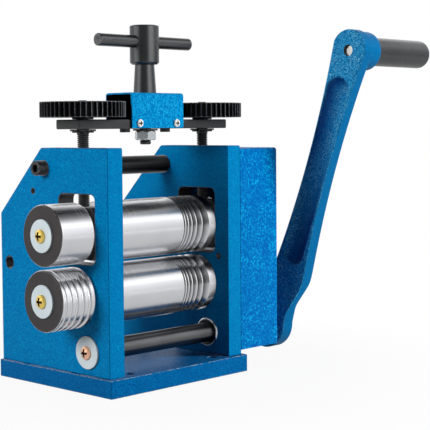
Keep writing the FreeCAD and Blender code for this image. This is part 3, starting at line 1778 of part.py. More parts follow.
def roller_pieces():
    shoulder = s.outer_x + s.air_gap
    gear_end = s.drive_gear_x + s.drive_gear_face
    pitch_half = 180.0 / float(s.coupling_teeth)
    return [
        roller("lower_roller", s.lower_axis, lower_key_starts()),
        extension_roll("lower_extension_roll", s.lower_axis, True),
        spacer("lower_spacer", s.lower_axis),
        *end_fastening("lower_roll", s.extension_end_x, s.axis_y, s.lower_axis),
        roller_keys("lower_roller_keys", s.lower_axis, lower_key_starts()),
        drive_gear(),
        coupling_gear("lower_coupling_gear", s.lower_axis, 90.0, gear_end),
        shaft_clip("lower_roller_clip", s.lower_axis),
        roller("upper_roller", s.upper_axis, upper_key_starts()),
        extension_roll("upper_extension_roll", s.upper_axis, False),
        spacer("upper_spacer", s.upper_axis),
        *end_fastening("upper_roll", s.extension_end_x, s.axis_y, s.upper_axis),
        roller_keys("upper_roller_keys", s.upper_axis, upper_key_starts()),
        coupling_gear("upper_coupling_gear", s.upper_axis, 90.0 + pitch_half, shoulder),
        shaft_clip("upper_roller_clip", s.upper_axis),
    ]


def adjusting_pieces():
    block_bore = s.journal + 2 * s.run_fit
    return [
        bearing_block("left_bearing_block", -s.outer_x),
        bearing_block("right_bearing_block", s.inner_x),
        plain_bushes("bearing_block_bushes", block_bore, s.bush_dia, s.axis_y, s.upper_axis),
        adjusting_screw("left_adjusting_screw", -s.screw_x),
        adjusting_screw("right_adjusting_screw", s.screw_x),
        screw_washer("left_screw_washer", -s.screw_x),
        screw_washer("right_screw_washer", s.screw_x),
        big_gear("left_adjusting_gear", -s.screw_x, 0.0),
        big_gear("right_adjusting_gear", s.screw_x, 180.0),
        bridge_bar(),
        idler_gear("left_idler_gear", -s.idler_x),
        idler_gear("right_idler_gear", s.idler_x),
        idler_bolts(),
        idler_nuts(),
        gear_cover(),
        cover_screws(),
        t_spindle(),
        cross_bar(),
        top_pinion(),
        spindle_washer(),
        spindle_nut(),
    ]


def crank_pieces():
    return [
        drive_shaft(),
        *end_fastening("drive_shaft", s.outer_x + s.end_play, s.drive_y, s.drive_z),
        drive_pinion(),
        drive_shaft_keys(),
        crank_arm(),
        crank_bolt(),
        grip_bolt(),
        grip(),
    ]


def check_document():
    """Stop if any object of the document failed to compute."""
    for item in doc.Objects:
        if "Invalid" in item.State or "Error" in item.State:
            raise RuntimeError(f"{item.Label} did not compute: {item.State}")


def check_piece(piece):
    if piece.Shape.isNull() or not piece.Shape.isValid() or not piece.Shape.Solids:
        raise RuntimeError(f"{piece.Label} has no valid shape")


pieces = frame_pieces() + roller_pieces() + adjusting_pieces() + crank_pieces()
doc.recompute()
check_document()
for sub_part in pieces:
    check_piece(sub_part)
for sub_part in pieces:
    sub_part.Shape.exportStep(os.path.join("parts", f"{sub_part.Label}.step"))
print(f"{len(pieces)} sub-parts written")
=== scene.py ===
"""Looks of a jewellers rolling mill, dressed over its CAD frame.

Meshes are worked out in millimetres on the frame's own axes: +X runs along the rollers towards
the crank, -Y is the side that metal is fed into, +Z is up, and the origin is the middle of the
base plate's underside.
"""

from __future__ import annotations

import logging
import math
from dataclasses import dataclass, field
from enum import Enum
from typing import Callable, Sequence

import bmesh
import bpy
import numpy as np
from mathutils import Matrix, Vector
from mathutils.geometry import tessellate_polygon

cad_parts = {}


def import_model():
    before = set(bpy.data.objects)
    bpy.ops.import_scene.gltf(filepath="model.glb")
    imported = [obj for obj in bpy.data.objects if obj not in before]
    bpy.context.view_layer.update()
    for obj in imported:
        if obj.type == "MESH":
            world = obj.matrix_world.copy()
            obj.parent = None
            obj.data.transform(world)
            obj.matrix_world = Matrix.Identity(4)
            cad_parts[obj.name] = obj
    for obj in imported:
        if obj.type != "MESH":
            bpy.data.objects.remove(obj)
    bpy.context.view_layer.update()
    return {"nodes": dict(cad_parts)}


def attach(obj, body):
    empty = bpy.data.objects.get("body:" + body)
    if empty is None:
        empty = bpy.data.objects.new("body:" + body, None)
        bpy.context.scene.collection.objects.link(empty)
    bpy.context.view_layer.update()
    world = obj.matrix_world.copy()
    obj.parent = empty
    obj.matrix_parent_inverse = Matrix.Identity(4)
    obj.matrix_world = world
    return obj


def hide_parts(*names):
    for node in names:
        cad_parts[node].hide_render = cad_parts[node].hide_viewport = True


Array = np.ndarray
Pair = tuple[float, float]
Triple = tuple[float, float, float]
Corners = Sequence[Sequence[float]]
Object = bpy.types.Object
Socket = bpy.types.NodeSocket
Sockets = dict[str, Socket]
LOG = logging.getLogger("rolling_mill")
MM = 0.001
SIDES = {"left": -1, "right": 1}
SHARP_ANGLE = math.radians(38)
SHARPEST_MITRE = 0.35
TOOTH_POINTS = 16

# In metres: points closer than a seam are one, and an edge shorter than a sliver goes
SEAM, SLIVER = 1e-7, 1e-8

# Places that several sub-assemblies share, in millimetres
AXIS_Y, LOWER_Z, UPPER_Z = -23.9, 62.6, 104.5
PLATE_INNER, PLATE_THICK = 49.05, 13.0
PLATE_OUTER = PLATE_INNER + PLATE_THICK
ROLL_BORE = 26.0
DRIVE = (-33.9, 27.237)


# --- Places -------------------------------------------------------------------------------
@dataclass(frozen=True)
class Pose:
    """A place and three axes for a shape drawn as (across, up, along), in millimetres."""

    origin: Triple
    across: Triple
    up: Triple
    along: Triple

    def carry(self, points: Array) -> Array:
        """Points moved from (across, up, along) to the frame: origin + their parts times the axes."""
        return np.asarray(self.origin) + points @ np.array((self.across, self.up, self.along))


class Way(Enum):
    """The direction a piece points in, with its (across, up, along) axes."""

    UP = ((1, 0, 0), (0, 1, 0), (0, 0, 1))
    DOWN = ((1, 0, 0), (0, -1, 0), (0, 0, -1))
    RIGHT = ((0, 1, 0), (0, 0, 1), (1, 0, 0))
    LEFT = ((0, -1, 0), (0, 0, 1), (-1, 0, 0))
    FRONT = ((1, 0, 0), (0, 0, 1), (0, -1, 0))
    BACK = ((-1, 0, 0), (0, 0, 1), (0, 1, 0))

    def at(self, x: float = 0.0, y: float = 0.0, z: float = 0.0) -> Pose:
        """A pose that points this way from a place."""
        return Pose((x, y, z), *self.value)


def plate_start(side: int) -> float:
    """X of the left face of a side plate."""
    return PLATE_INNER if side > 0 else -PLATE_OUTER


# --- Outlines and profiles ----------------------------------------------------------------
def softened(corners: Corners, steps: int = 4) -> Array:
    """Round the corners of a closed outline.

    At a corner C with softness r, the outline leaves its two sides at A and B, r away from C,
    and follows (1-t)^2 A + 2t(1-t) C + t^2 B for t from 0 to 1.

    Args:
        corners: (a, b) or (a, b, softness) for each corner.
        steps: Pieces that each rounded corner is divided into.

    Returns:
        The outline's points, an array of (a, b).
    """
    table = np.array([(*corner, 0.0)[:3] for corner in corners], float)
    here, soft = table[:, :2], table[:, 2:]

    def towards(other: Array) -> Array:
        """Unit steps from each corner to another."""
        step = other - here
        return step / np.maximum(np.linalg.norm(step, axis=1, keepdims=True), 1e-9)

    start = (here + soft * towards(np.roll(here, 1, 0)))[:, None]
    end = (here + soft * towards(np.roll(here, -1, 0)))[:, None]
    t = np.linspace(0.0, 1.0, steps + 1)[None, :, None]
    bends = (1 - t) ** 2 * start + 2 * t * (1 - t) * here[:, None] + t**2 * end
    keep = np.ones(bends.shape[:2], bool)
    keep[:, 1:] = soft > 0
    return bends[keep]


def oblong(low: Pair, high: Pair, soft: float, steps: int = 4) -> Array:
    """A rectangle with rounded corners, anticlockwise from its low corner."""
    (a, b), (c, d) = low, high
    return softened([(a, b, soft), (c, b, soft), (c, d, soft), (a, d, soft)], steps)


def rod(low: float, high: float, radius: float, soft: float, steps: int = 3) -> Array:
    """Profile of a solid round bar with rounded ends."""
    return softened([(low, 0.0), (low, radius, soft), (high, radius, soft), (high, 0.0)], steps)


def inset(outline: Array, depth: float) -> Array:
    """Move an outline sideways by a depth.

    Each point moves along the mitre of its two sides, (n1 + n2) / (1 + n1.n2) times the depth,
    where n is the left-hand normal of a side: inwards for an outline that runs anticlockwise.

    Args:
        outline: Closed outline, an array of (a, b).
        depth: How far to the left of travel the outline moves.

    Returns:
        The moved outline, with as many points.
    """
    side = np.roll(outline, -1, 0) - outline
    side /= np.maximum(np.linalg.norm(side, axis=1, keepdims=True), 1e-9)
    after = np.stack((-side[:, 1], side[:, 0]), -1)
    before = np.roll(after, 1, 0)
    square = 1 + np.sum(before * after, axis=1, keepdims=True)
    return outline + depth * (before + after) / np.maximum(square, SHARPEST_MITRE)


def lifted(outline: Array, height: Array | float) -> Array:
    """An outline's points with a height, one for all or one for each."""
    return np.column_stack((outline, np.broadcast_to(height, len(outline))))


def arc(radius: float, turn: Array) -> Array:
    """Points (a, b) at angles on a circle about 0."""
    return radius * np.stack((np.cos(turn), np.sin(turn)), -1)


def turns(columns: int, offset: float = 0.0) -> Array:
    """Even angles round a circle, turned by a share of a column."""
    return 2 * np.pi * (np.arange(columns) + offset) / columns


def hole(diameter: float, a: float, b: float, columns: int = 48) -> Array:
    """Points of a circle that runs clockwise, as a slab's holes do."""
    return ((a, b) + arc(diameter / 2, turns(columns)))[::-1]


def hexagon(flats: float, columns: int) -> Array:
    """Radius of a hexagon at each column: half its flats over the cosine to the nearest flat."""
    return flats / 2 / np.cos(np.mod(turns(columns), np.pi / 3) - np.pi / 6)


def cross(reach: float, half_width: float, columns: int) -> Array:
    """Radius of a plus sign at each column: the further of two crossed bars' edges.

    Args:
        reach: Half the length of a bar.
        half_width: Half its width.
        columns: How many radii.

    Returns:
        The radii, from half a column on.
    """
    cosine, sine = np.maximum(np.abs(arc(1.0, turns(columns, 0.5))), 1e-9).T
    flat = np.minimum(reach / cosine, half_width / sine)
    tall = np.minimum(half_width / cosine, reach / sine)
    return np.maximum(flat, tall)


def rings(radius: Array, along: Array, columns: int, offset: float = 0.0) -> Array:
    """Loops about an axis.

    The surface is (r cos a, r sin a, s) where the radius r and the station s may change with
    the row and with the angle a.

    Args:
        radius: Radii, of shape (rows,) or (rows, columns).
        along: Stations on the axis, of shape (rows,) or (rows, columns).
        columns: Points on each loop.
        offset: Share of a column by which the loops are turned.

    Returns:
        Points of shape (rows, columns, 3).
    """
    turn = turns(columns, offset)
    radius, along = (v if v.ndim > 1 else v[:, None] for v in map(np.asarray, (radius, along)))
    radius, along = np.broadcast_arrays(radius, along + 0 * turn)
    return np.stack((radius * np.cos(turn), radius * np.sin(turn), along), -1)


def turned(profile: Corners, columns: int = 96) -> Array:
    """Loops of a turned piece from its (along, radius) profile, lowest station first."""
    along, radius = np.array(profile, float).T
    return rings(radius, along, columns)


def smoothstep(low: float, high: float, value: Array) -> Array:
    """0 below low, 1 above high, and 3t^2 - 2t^3 between them."""
    t = np.clip((np.asarray(value, float) - low) / (high - low), 0.0, 1.0)
    return t * t * (3 - 2 * t)


def soft_ramp(value: Array, softness: float) -> Array:
    """A rounded max(0, value): half of value + sqrt(value^2 + softness^2)."""
    return 0.5 * (value + np.sqrt(value * value + softness * softness))


def row_starts(first: float, widths: Array, land: float) -> Array:
    """Where each groove of a row starts, with a land between every two."""
    return first + np.concatenate(([0.0], np.cumsum(widths + land)[:-1]))


def gear_outline(module: float, teeth: int, phase: float) -> Array:
    """Outline of a spur gear.

    At radius r a tooth reaches pi/2N - slack + inv(pressure) - inv(arccos(base / r)) to each
    side of its middle, where inv(x) = tan x - x, so its flanks are involutes of the base circle.

    Args:
        module: Pitch diameter over the number of teeth.
        teeth: Number of teeth, N.
        phase: Angle of one tooth's middle, in degrees.

    Returns:
        The outline, TOOTH_POINTS points to a tooth, anticlockwise.
    """
    pressure, backlash, tip_break = math.radians(20.0), 0.16, 0.14
    pitch = module * teeth / 2
    base, tip, root = pitch * math.cos(pressure), pitch + module, pitch - 1.25 * module
    radii = np.linspace(max(base, root), tip, 6)
    bend = np.arccos(np.clip(base / radii, -1.0, 1.0))
    half = np.pi / 2 / teeth - backlash / 2 / pitch + math.tan(pressure) - pressure
    half = half - np.tan(bend) + bend
    land = half[-1] - tip_break / tip
    radius = np.concatenate(([root], radii, [tip, tip], radii[::-1], [root]))
    angle = np.concatenate(([-half[0]], -half, [-land, land], half[::-1], [half[0]]))
    angle = (angle + math.radians(phase) + turns(teeth)[:, None]).ravel()
    return np.tile(radius, teeth)[:, None] * arc(1.0, angle)



# --- Skins --------------------------------------------------------------------------------
class Skin:
    """Gathers closed patches, in millimetres, and makes them one piece of the mill."""

    def __init__(self, name: str) -> None:
        """Start an empty skin.

        Args:
            name: Name that its piece will have.
        """
        self.name = name
        self.points: list[Array] = []
        self.faces: list[list[int]] = []
        self.paint: list[int] = []
        self.marks: dict[str, list[Array]] = {"worn": [], "hollow": []}
        self.count = 0

    def _rows(self, points: Array, pose: Pose, ring: bool = False, **marks: Array) -> Array:
        """Add loops of points, and quads from each loop to the next.

        Args:
            points: Points of shape (rows, columns, 3).
            pose: Where they go.
            ring: True if the last loop is joined to the first.
            marks: Values for the points, by the name of their attribute.

        Returns:
            The points' numbers, of shape (rows, columns).
        """
        number = self.count + np.arange(points[..., 0].size).reshape(points.shape[:2])
        self.count += number.size
        self.points.append(pose.carry(points).reshape(-1, 3))
        for name, values in self.marks.items():
            values.append(np.broadcast_to(marks.get(name, 0.0), number.shape).ravel())
        lower = number if ring else number[:-1]
        upper = np.roll(number, -1, 0) if ring else number[1:]
        quads = np.stack((lower, np.roll(lower, -1, 1), np.roll(upper, -1, 1), upper), -1)
        self.faces += quads.reshape(-1, 4).tolist()
        return number

    def stack(
        self,
        loops: Array,
        pose: Pose,
        ring: bool = False,
        paint: int | Array = 0,
        worn: Array | float = 0.0,
        hollow: Array | float = 0.0,
    ) -> Skin:
        """Skin a stack of closed loops.

        Face (i, j) joins point j of loop i to point j + 1, and to the same two points of loop
        i + 1.  The ends are closed by flat faces, or joined to each other on a ring.

        Args:
            loops: Points of shape (rows, columns, 3), each loop anticlockwise about +along.
            pose: Where the loops go.
            ring: True if the last loop is joined to the first.
            paint: Number of the finish, one for all or one for each row of faces.
            worn: How much of the marked colour the points take, for scuffed edges, painted highlight
                and painted shade, of shape (rows,), (rows, columns) or one number.
            hollow: How much painted shade the points take, of shape (rows, columns) or one number.

        Returns:
            The skin itself.
        """
        worn = np.asarray(worn, float)
        worn = worn[:, None] if worn.ndim == 1 else worn
        number = self._rows(loops, pose, ring, worn=worn, hollow=hollow)
        rows, columns = number.shape
        tint = np.broadcast_to(np.reshape(paint, (-1, 1)), (rows if ring else rows - 1, columns))
        self.paint += tint.ravel().tolist()
        if not ring:
            self.faces += [number[0][::-1].tolist(), number[-1].tolist()]
            self.paint += [int(tint[0, 0]), int(tint[-1, 0])]
        return self

    def slab(
        self,
        outline: Array,
        holes: Sequence[Array],
        thick: float,
        pose: Pose,
        bevel: float = 0.5,
        steps: int = 2,
        dark_holes: bool = False,
    ) -> Skin:
        """Add a flat piece with holes and rounded edges.

        Its wall is the outline carried through the thickness; near each face it draws in by
        b(1 - sin q) while it comes b(1 - cos q) off the face, for q from 0 to 90 degrees.

        Args:
            outline: Outer outline, anticlockwise.
            holes: Outlines of the holes, clockwise.
            thick: Thickness along the pose, from 0.
            pose: Where the slab goes.
            bevel: Radius b of the rounded edges.
            steps: Pieces that each rounded edge is divided into.
            dark_holes: True if the holes' walls take the second finish.

        Returns:
            The skin itself.
        """
        q = np.linspace(0.0, np.pi / 2, steps + 1)
        draw, rise = bevel * (1 - np.sin(q)), bevel * (1 - np.cos(q))
        levels = [*zip(draw, rise), *zip(draw[::-1], thick - rise[::-1])]
        edge = np.sin(2 * np.concatenate((q, q[::-1])))[:, None]
        low, high, flat = [], [], []
        for order, loop in enumerate((outline, *holes)):
            wall = np.stack([lifted(inset(loop, depth), height) for depth, height in levels])
            number = self._rows(wall, pose, worn=edge)
            self.paint += [int(dark_holes and order > 0)] * number[1:].size
            low.append(number[0])
            high.append(number[-1])
            flat.append([Vector(point) for point in wall[0].tolist()])
        triangles = np.array(tessellate_polygon(flat))
        for face in (low, high):
            self.faces += np.concatenate(face)[triangles].tolist()
            self.paint += [0] * len(triangles)
        return self

    def mesh(self) -> bpy.types.Mesh:
        """Make one mesh of the gathered patches, with seams and poles closed.

        Returns:
            The mesh, in metres.
        """
        mesh = bpy.data.meshes.new(self.name)
        mesh.from_pydata((np.concatenate(self.points) * MM).tolist(), [], self.faces)
        mesh.polygons.foreach_set("material_index", np.array(self.paint, np.int32))
        for name, values in self.marks.items():
            layer = mesh.attributes.new(name, "FLOAT", "POINT")
            layer.data.foreach_set("value", np.concatenate(values).astype(np.float32))
        work = bmesh.new()
        work.from_mesh(mesh)
        bmesh.ops.remove_doubles(work, verts=work.verts, dist=SEAM)
        bmesh.ops.dissolve_degenerate(work, dist=SLIVER, edges=work.edges)
        bmesh.ops.recalc_face_normals(work, faces=work.faces)
        work.to_mesh(mesh)
        work.free()
        mesh.validate()
        return mesh

    def raw(self, *finishes: Finish) -> Object:
        """Make the patches an object, ready to be cut or dressed.

        Args:
            finishes: A finish for each number in its paint.

        Returns:
            The object.
        """
        made = bpy.data.objects.new(self.name, self.mesh())
        bpy.context.scene.collection.objects.link(made)
        for finish in finishes:
            made.data.materials.append(finish.material())
        return made

    def piece(self, finish: Finish | Sequence[Finish], body: str, *nodes: str) -> Object:
        """Make the patches a finished piece.

        Args:
            finish: The piece's finish, or one for each number in its paint.
            body: Body that the piece rides on.
            nodes: CAD nodes that it stands for.

        Returns:
            The finished object.
        """
        finishes = [finish] if isinstance(finish, Finish) else finish
        return finished(self.raw(*finishes), finishes[0].slot, body, *nodes)


def finished(made: Object, slot: str, body: str, *nodes: str) -> Object:
    """Shade an object and tie it to the frame.

    Args:
        made: Object whose mesh is in place and has its finishes.
        slot: The record's material slot that its finish belongs to; not used.
        body: Body that it rides on.
        nodes: CAD nodes that it stands for.

    Returns:
        The same object.
    """
    mesh = made.data
    mesh.polygons.foreach_set("use_smooth", np.ones(len(mesh.polygons), bool))
    mesh.set_sharp_from_angle(angle=SHARP_ANGLE)
    even = made.modifiers.new("even_shading", "WEIGHTED_NORMAL")
    even.keep_sharp = True
    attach(made, body)
    if nodes:
        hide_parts(*nodes)
    LOG.info("%s: %d faces on %s", made.name, len(mesh.polygons), body)
    return made


def joined(made: Object, other: Object, how: str = "UNION") -> None:
    """Add a second solid to the first, or cut it out of it, and use it up.

    Args:
        made: Solid that is kept, with a new mesh.
        other: Solid that is used up.
        how: UNION or DIFFERENCE.
    """
    work = made.modifiers.new("join", "BOOLEAN")
    work.operation, work.solver, work.object = how, "EXACT", other
    graph = bpy.context.evaluated_depsgraph_get()
    old, used = made.data, other.data
    made.data = bpy.data.meshes.new_from_object(made.evaluated_get(graph), depsgraph=graph)
    made.modifiers.remove(work)
    bpy.data.objects.remove(other)
    for mesh in (old, used):
        bpy.data.meshes.remove(mesh)


def drilled(
    made: Object, radius: float, ends: Pair, pose: Pose, columns: int = 64, paint: int = 0
) -> None:
    """Cut a round hole out of an object.

    Args:
        made: The object.
        radius: The hole's radius.
        ends: Where the hole starts and ends along its pose.
        pose: Where the hole goes.
        columns: Sides of the hole.
        paint: Number of the finish that its wall takes.
    """
    tool = Skin("drill").stack(rings(np.full(2, radius), np.array(ends), columns), pose, paint=paint)
    cutter = tool.raw()
    for material in made.data.materials:
        cutter.data.materials.append(material)
    joined(made, cutter, "DIFFERENCE")


# --- Finishes -----------------------------------------------------------------------------
def rgb(red: float, green: float, blue: float) -> Triple:
    """Turn a colour on the screen's 0-255 scale into linear light.

    Args:
        red: Its red part.
        green: Its green part.
        blue: Its blue part.

    Returns:
        The three linear parts.
    """
    share = np.array((red, green, blue)) / 255.0
    linear = np.where(share <= 0.04045, share / 12.92, ((share + 0.055) / 1.055) ** 2.4)
    return tuple(float(part) for part in linear)


@dataclass
class Web:
    """Adds nodes to one tree and joins them."""

    tree: bpy.types.NodeTree

    @classmethod
    def fresh(cls, owner: bpy.types.Material | bpy.types.World) -> Web:
        """Start an empty web.

        Args:
            owner: Material or world that it belongs to.

        Returns:
            The web.
        """
        owner.use_nodes = True
        owner.node_tree.nodes.clear()
        return cls(owner.node_tree)

    def add(self, kind: str, inputs: dict | None = None, **settings: object) -> bpy.types.Node:
        """Add a node.

        Args:
            kind: Blender's name for the node, without its ShaderNode prefix.
            inputs: A value or a socket to join for each input, by name or number.  A colour
                of three parts gets full cover.
            settings: Properties of the node.

        Returns:
            The new node.
        """
        node = self.tree.nodes.new(kind if kind.startswith("Node") else "ShaderNode" + kind)
        for name, value in settings.items():
            setattr(node, name, value)
        for name, value in (inputs or {}).items():
            socket = node.inputs[name]
            if isinstance(value, Socket):
                self.tree.links.new(value, socket)
            elif socket.type == "RGBA" and len(value) == 3:
                socket.default_value = (*value, 1.0)
            else:
                socket.default_value = value
        return node

    def number(self, how: str, *values: object) -> Socket:
        """The result of a Math node."""
        return self.add("Math", dict(enumerate(values)), operation=how).outputs[0]

    def vector(self, how: str, first: object, second: object = (0.0, 0.0, 0.0)) -> Socket:
        """Add a Vector Math node.

        Args:
            how: What it works out.
            first: First vector.
            second: Second vector, or the factor where it scales.

        Returns:
            Its result.
        """
        slot = "Scale" if how == "SCALE" else 1
        made = self.add("VectorMath", {0: first, slot: second}, operation=how)
        return made.outputs["Value" if how in ("LENGTH", "DOT_PRODUCT") else "Vector"]

    def noise(self, place: Socket, scale: object, detail: float, output: str = "Fac") -> Socket:
        """Noise at a place."""
        inputs = {"Vector": place, "Scale": scale, "Detail": detail}
        return self.add("TexNoise", inputs).outputs[output]

    def spread(self, value: Socket, low: float, high: float, least: float = 0.0) -> Socket:
        """A value rescaled smoothly so that low becomes the least and high becomes 1."""
        inputs = {"Value": value, "From Min": low, "From Max": high, "To Min": least}
        return self.add("MapRange", inputs, interpolation_type="SMOOTHSTEP").outputs[0]

    def between(self, share: Socket, low: float, high: float) -> Socket:
        """A number between two others."""
        return self.add("MapRange", {"Value": share, "To Min": low, "To Max": high}).outputs[0]

    def blend(self, share: Socket, first: object, second: object) -> Socket:
        """A colour between two others."""
        return self.add("Mix", {0: share, 6: first, 7: second}, data_type="RGBA").outputs[2]

    def mark(self, name: str) -> Socket:
        """A piece's own attribute."""
        return self.add("Attribute", attribute_name=name).outputs["Fac"]

    def relief(self, height: Socket, depth: float) -> Socket:
        """A normal for a surface raised by a height times a depth in metres."""
        inputs = {"Strength": 1.0, "Distance": depth, "Height": height}
        return self.add("Bump", inputs).outputs[0]


def node_group(
    name: str, inputs: dict[str, str], fill: Callable[[Web, Sockets], Sockets]
) -> bpy.types.NodeTree:
    """A shader node group, made once.

    Args:
        name: Its name.
        inputs: Kind of socket for each input: Vector, Float or Color.
        fill: Adds the nodes between the inputs' sockets and a socket for each output.

    Returns:
        The group.
    """
    if name in bpy.data.node_groups:
        return bpy.data.node_groups[name]
    tree = bpy.data.node_groups.new(name, "ShaderNodeTree")
    for label, kind in inputs.items():
        tree.interface.new_socket(label, in_out="INPUT", socket_type="NodeSocket" + kind)
    web = Web(tree)
    made = fill(web, web.add("NodeGroupInput").outputs)
    for label, socket in made.items():
        kind = "Color" if socket.type == "RGBA" else "Float"
        tree.interface.new_socket(label, in_out="OUTPUT", socket_type="NodeSocket" + kind)
    web.add("NodeGroupOutput", made)
    return tree


def enamel_group() -> bpy.types.NodeTree:
    """Hammered enamel: rounded cells that pool into a deep colour, with pale crowns that are partly
    metallic flake and partly painted highlight on the bumps.

    Returns:
        The group, which puts out Colour, Height and Pool.
    """

    def fill(web: Web, given: Sockets) -> Sockets:
        """Cells of a smooth Voronoi pattern, pushed about by noise, each crown as pale as its cell's
        own number: metallic flake and painted highlight.

        Args:
            web: The group's web.
            given: Sockets of its inputs.

        Returns:
            A socket for each output.
        """
        place, scale = given["Vector"], given["Scale"]
        nudge = web.vector("SCALE", web.noise(place, scale, 1.0, "Color"), 0.0007)
        inputs = {"Vector": web.vector("ADD", place, nudge), "Scale": scale, "Smoothness": 0.35}
        cells = web.add("TexVoronoi", inputs, feature="SMOOTH_F1").outputs
        number = web.add("SeparateColor", {0: cells["Color"]}).outputs[0]
        drift = web.noise(place, web.number("MULTIPLY", scale, 0.12), 2.0)
        pool = web.spread(cells["Distance"], 0.15, 0.7)
        height = web.number("SUBTRACT", 1.0, pool)
        # The pale colour on each bump's crown is partly metallic flake, partly painted highlight
        pale = web.number("MULTIPLY", web.spread(number, 0.3, 0.85), height)
        fleck_and_highlight = web.number("MULTIPLY", pale, web.spread(drift, 0.3, 0.62))
        body = web.blend(pool, given["Body"], given["Deep"])
        share = web.number("MULTIPLY", fleck_and_highlight, given["Fleck_And_Highlight_Share"])
        return {"Colour": web.blend(share, body, given["Fleck"]), "Height": height, "Pool": pool}

    colours = dict.fromkeys(("Deep", "Body", "Fleck"), "Color")
    inputs = {"Vector": "Vector", "Scale": "Float", "Fleck_And_Highlight_Share": "Float", **colours}
    return node_group("hammered_enamel", inputs, fill)


def tool_mark_group() -> bpy.types.NodeTree:
    """Fine lines left by a grinding wheel or a turning tool, with faint handling smudges.

    Returns:
        The group, which puts out Lines and Cloud.
    """

    def fill(web: Web, given: Sockets) -> Sockets:
        """Two noises on a place squeezed to one axis, and a broad one on the place itself.

        Args:
            web: The group's web.
            given: Sockets of its inputs.

        Returns:
            A socket for each output.
        """
        squeezed = web.vector("MULTIPLY", given["Vector"], given["Squeeze"])
        fine = web.number("MULTIPLY", web.noise(squeezed, 5200.0, 2.0), 0.6)
        broad = web.number("MULTIPLY", web.noise(squeezed, 900.0, 2.0), 0.4)
        cloud = web.spread(web.noise(given["Vector"], 45.0, 4.0), 0.35, 0.7)
        return {"Lines": web.spread(web.number("ADD", fine, broad), 0.3, 0.7), "Cloud": cloud}

    return node_group("tool_marks", {"Vector": "Vector", "Squeeze": "Vector"}, fill)


def wear_and_light_group() -> bpy.types.NodeTree:
    """Where a marked place takes its own colour, for scuffed edges and for painted highlight and
    shade: the place's own mark, broken up by noise.

    Returns:
        The group, which puts out Scuffed_And_Lit.
    """

    def fill(web: Web, given: Sockets) -> Sockets:
        """The mark times a noise that leaves gaps, times the amount.

        Args:
            web: The group's web.
            given: Sockets of its inputs.

        Returns:
            A socket for each output.
        """
        patchy = web.spread(web.noise(given["Vector"], 420.0, 3.0), 0.38, 0.62)
        patchy = web.number("MAXIMUM", patchy, web.number("SUBTRACT", 1.0, given["Broken"]))
        edge = web.number("MULTIPLY", given["Scuffed_And_Lit_Mark"], patchy)
        return {"Scuffed_And_Lit": web.number("MULTIPLY", edge, given["Amount"])}

    numbers = dict.fromkeys(("Scuffed_And_Lit_Mark", "Amount", "Broken"), "Float")
    return node_group("edge_wear_and_light", {"Vector": "Vector", **numbers}, fill)


def wear_and_light_share(web: Web, place: Socket, amount: float, broken: float) -> Socket:
    """How much of its marked colour (scuffed metal, painted highlight, painted shade) a place takes.
    """
    inputs = {"Vector": place, "Scuffed_And_Lit_Mark": web.mark("worn"), "Amount": amount, "Broken": broken}
    return web.add("Group", inputs, node_tree=wear_and_light_group()).outputs["Scuffed_And_Lit"]


class Squeeze(Enum):
    """The axis that tool marks run round, as factors on the place."""

    ROUND_X = (1.0, 0.004, 0.004)
    ROUND_Z = (0.004, 0.004, 1.0)
    EVERY_WAY = (0.4, 0.4, 0.4)


@dataclass(frozen=True)
class Finish:
    """What all finishes have: a name and the record's slot that they belong to."""

    name: str
    slot: str

    def material(self) -> bpy.types.Material:
        """Find the finish's material, or make it.

        Returns:
            The material.
        """
        made = bpy.data.materials.get(self.name)
        if not made:
            made = bpy.data.materials.new(self.name)
            web = Web.fresh(made)
            place = web.add("TexCoord").outputs["Object"]
            shader = web.add("BsdfPrincipled", self.dress(web, place))
            web.add("OutputMaterial", {"Surface": shader.outputs[0]})
        return made

    def dress(self, web: Web, place: Socket) -> dict[str, object]:
        """The shader's inputs; each kind of finish makes them in its own way."""
        raise NotImplementedError


@dataclass(frozen=True)
class Enamel(Finish):
    """Metallic enamel with a hammered or a fine texture."""

    deep: Triple
    body: Triple
    fleck_and_highlight: Triple
    scale: float
    fleck_and_highlight_share: float
    relief: float
    roughness: float
    metallic: float = 0.12
    specular: float = 0.03
    rim: Triple = (0.0, 0.02, 0.08)
    rim_wear_and_shade: float = 0.0
    rim_broken: float = 1.0
    shadow: Triple | None = None

    def dress(self, web: Web, place: Socket) -> dict[str, object]:
        """Colour and relief from the hammered cells; marked pockets take painted shade, and marked
        edges take the rim colour.

        Args:
            web: The material's web.
            place: Place on the object.

        Returns:
            The shader's inputs.
        """
        inputs = {"Vector": place, "Scale": self.scale, "Fleck_And_Highlight_Share": self.fleck_and_highlight_share}
        inputs |= {"Deep": self.deep, "Body": self.body, "Fleck": self.fleck_and_highlight}
        cells = web.add("Group", inputs, node_tree=enamel_group()).outputs
        colour = cells["Colour"]
        if self.shadow:
            # Painted shade in the crank's pocket, from the piece's hollow mark
            share = web.number("MULTIPLY", web.mark("hollow"), 0.9)
            colour = web.blend(share, colour, self.shadow)
        # The rim colour on marked edges: painted shade on the plates, a light tan line on the base
        if self.rim_wear_and_shade:
            wear_and_light_colour = wear_and_light_share(web, place, self.rim_wear_and_shade, self.rim_broken)
            colour = web.blend(wear_and_light_colour, colour, self.rim)
        return {
            "Base Color": colour,
            "Roughness": web.between(cells["Pool"], self.roughness - 0.05, self.roughness + 0.08),
            "Metallic": self.metallic,
            "Specular IOR Level": self.specular,
            "Normal": web.relief(cells["Height"], self.relief),
        }


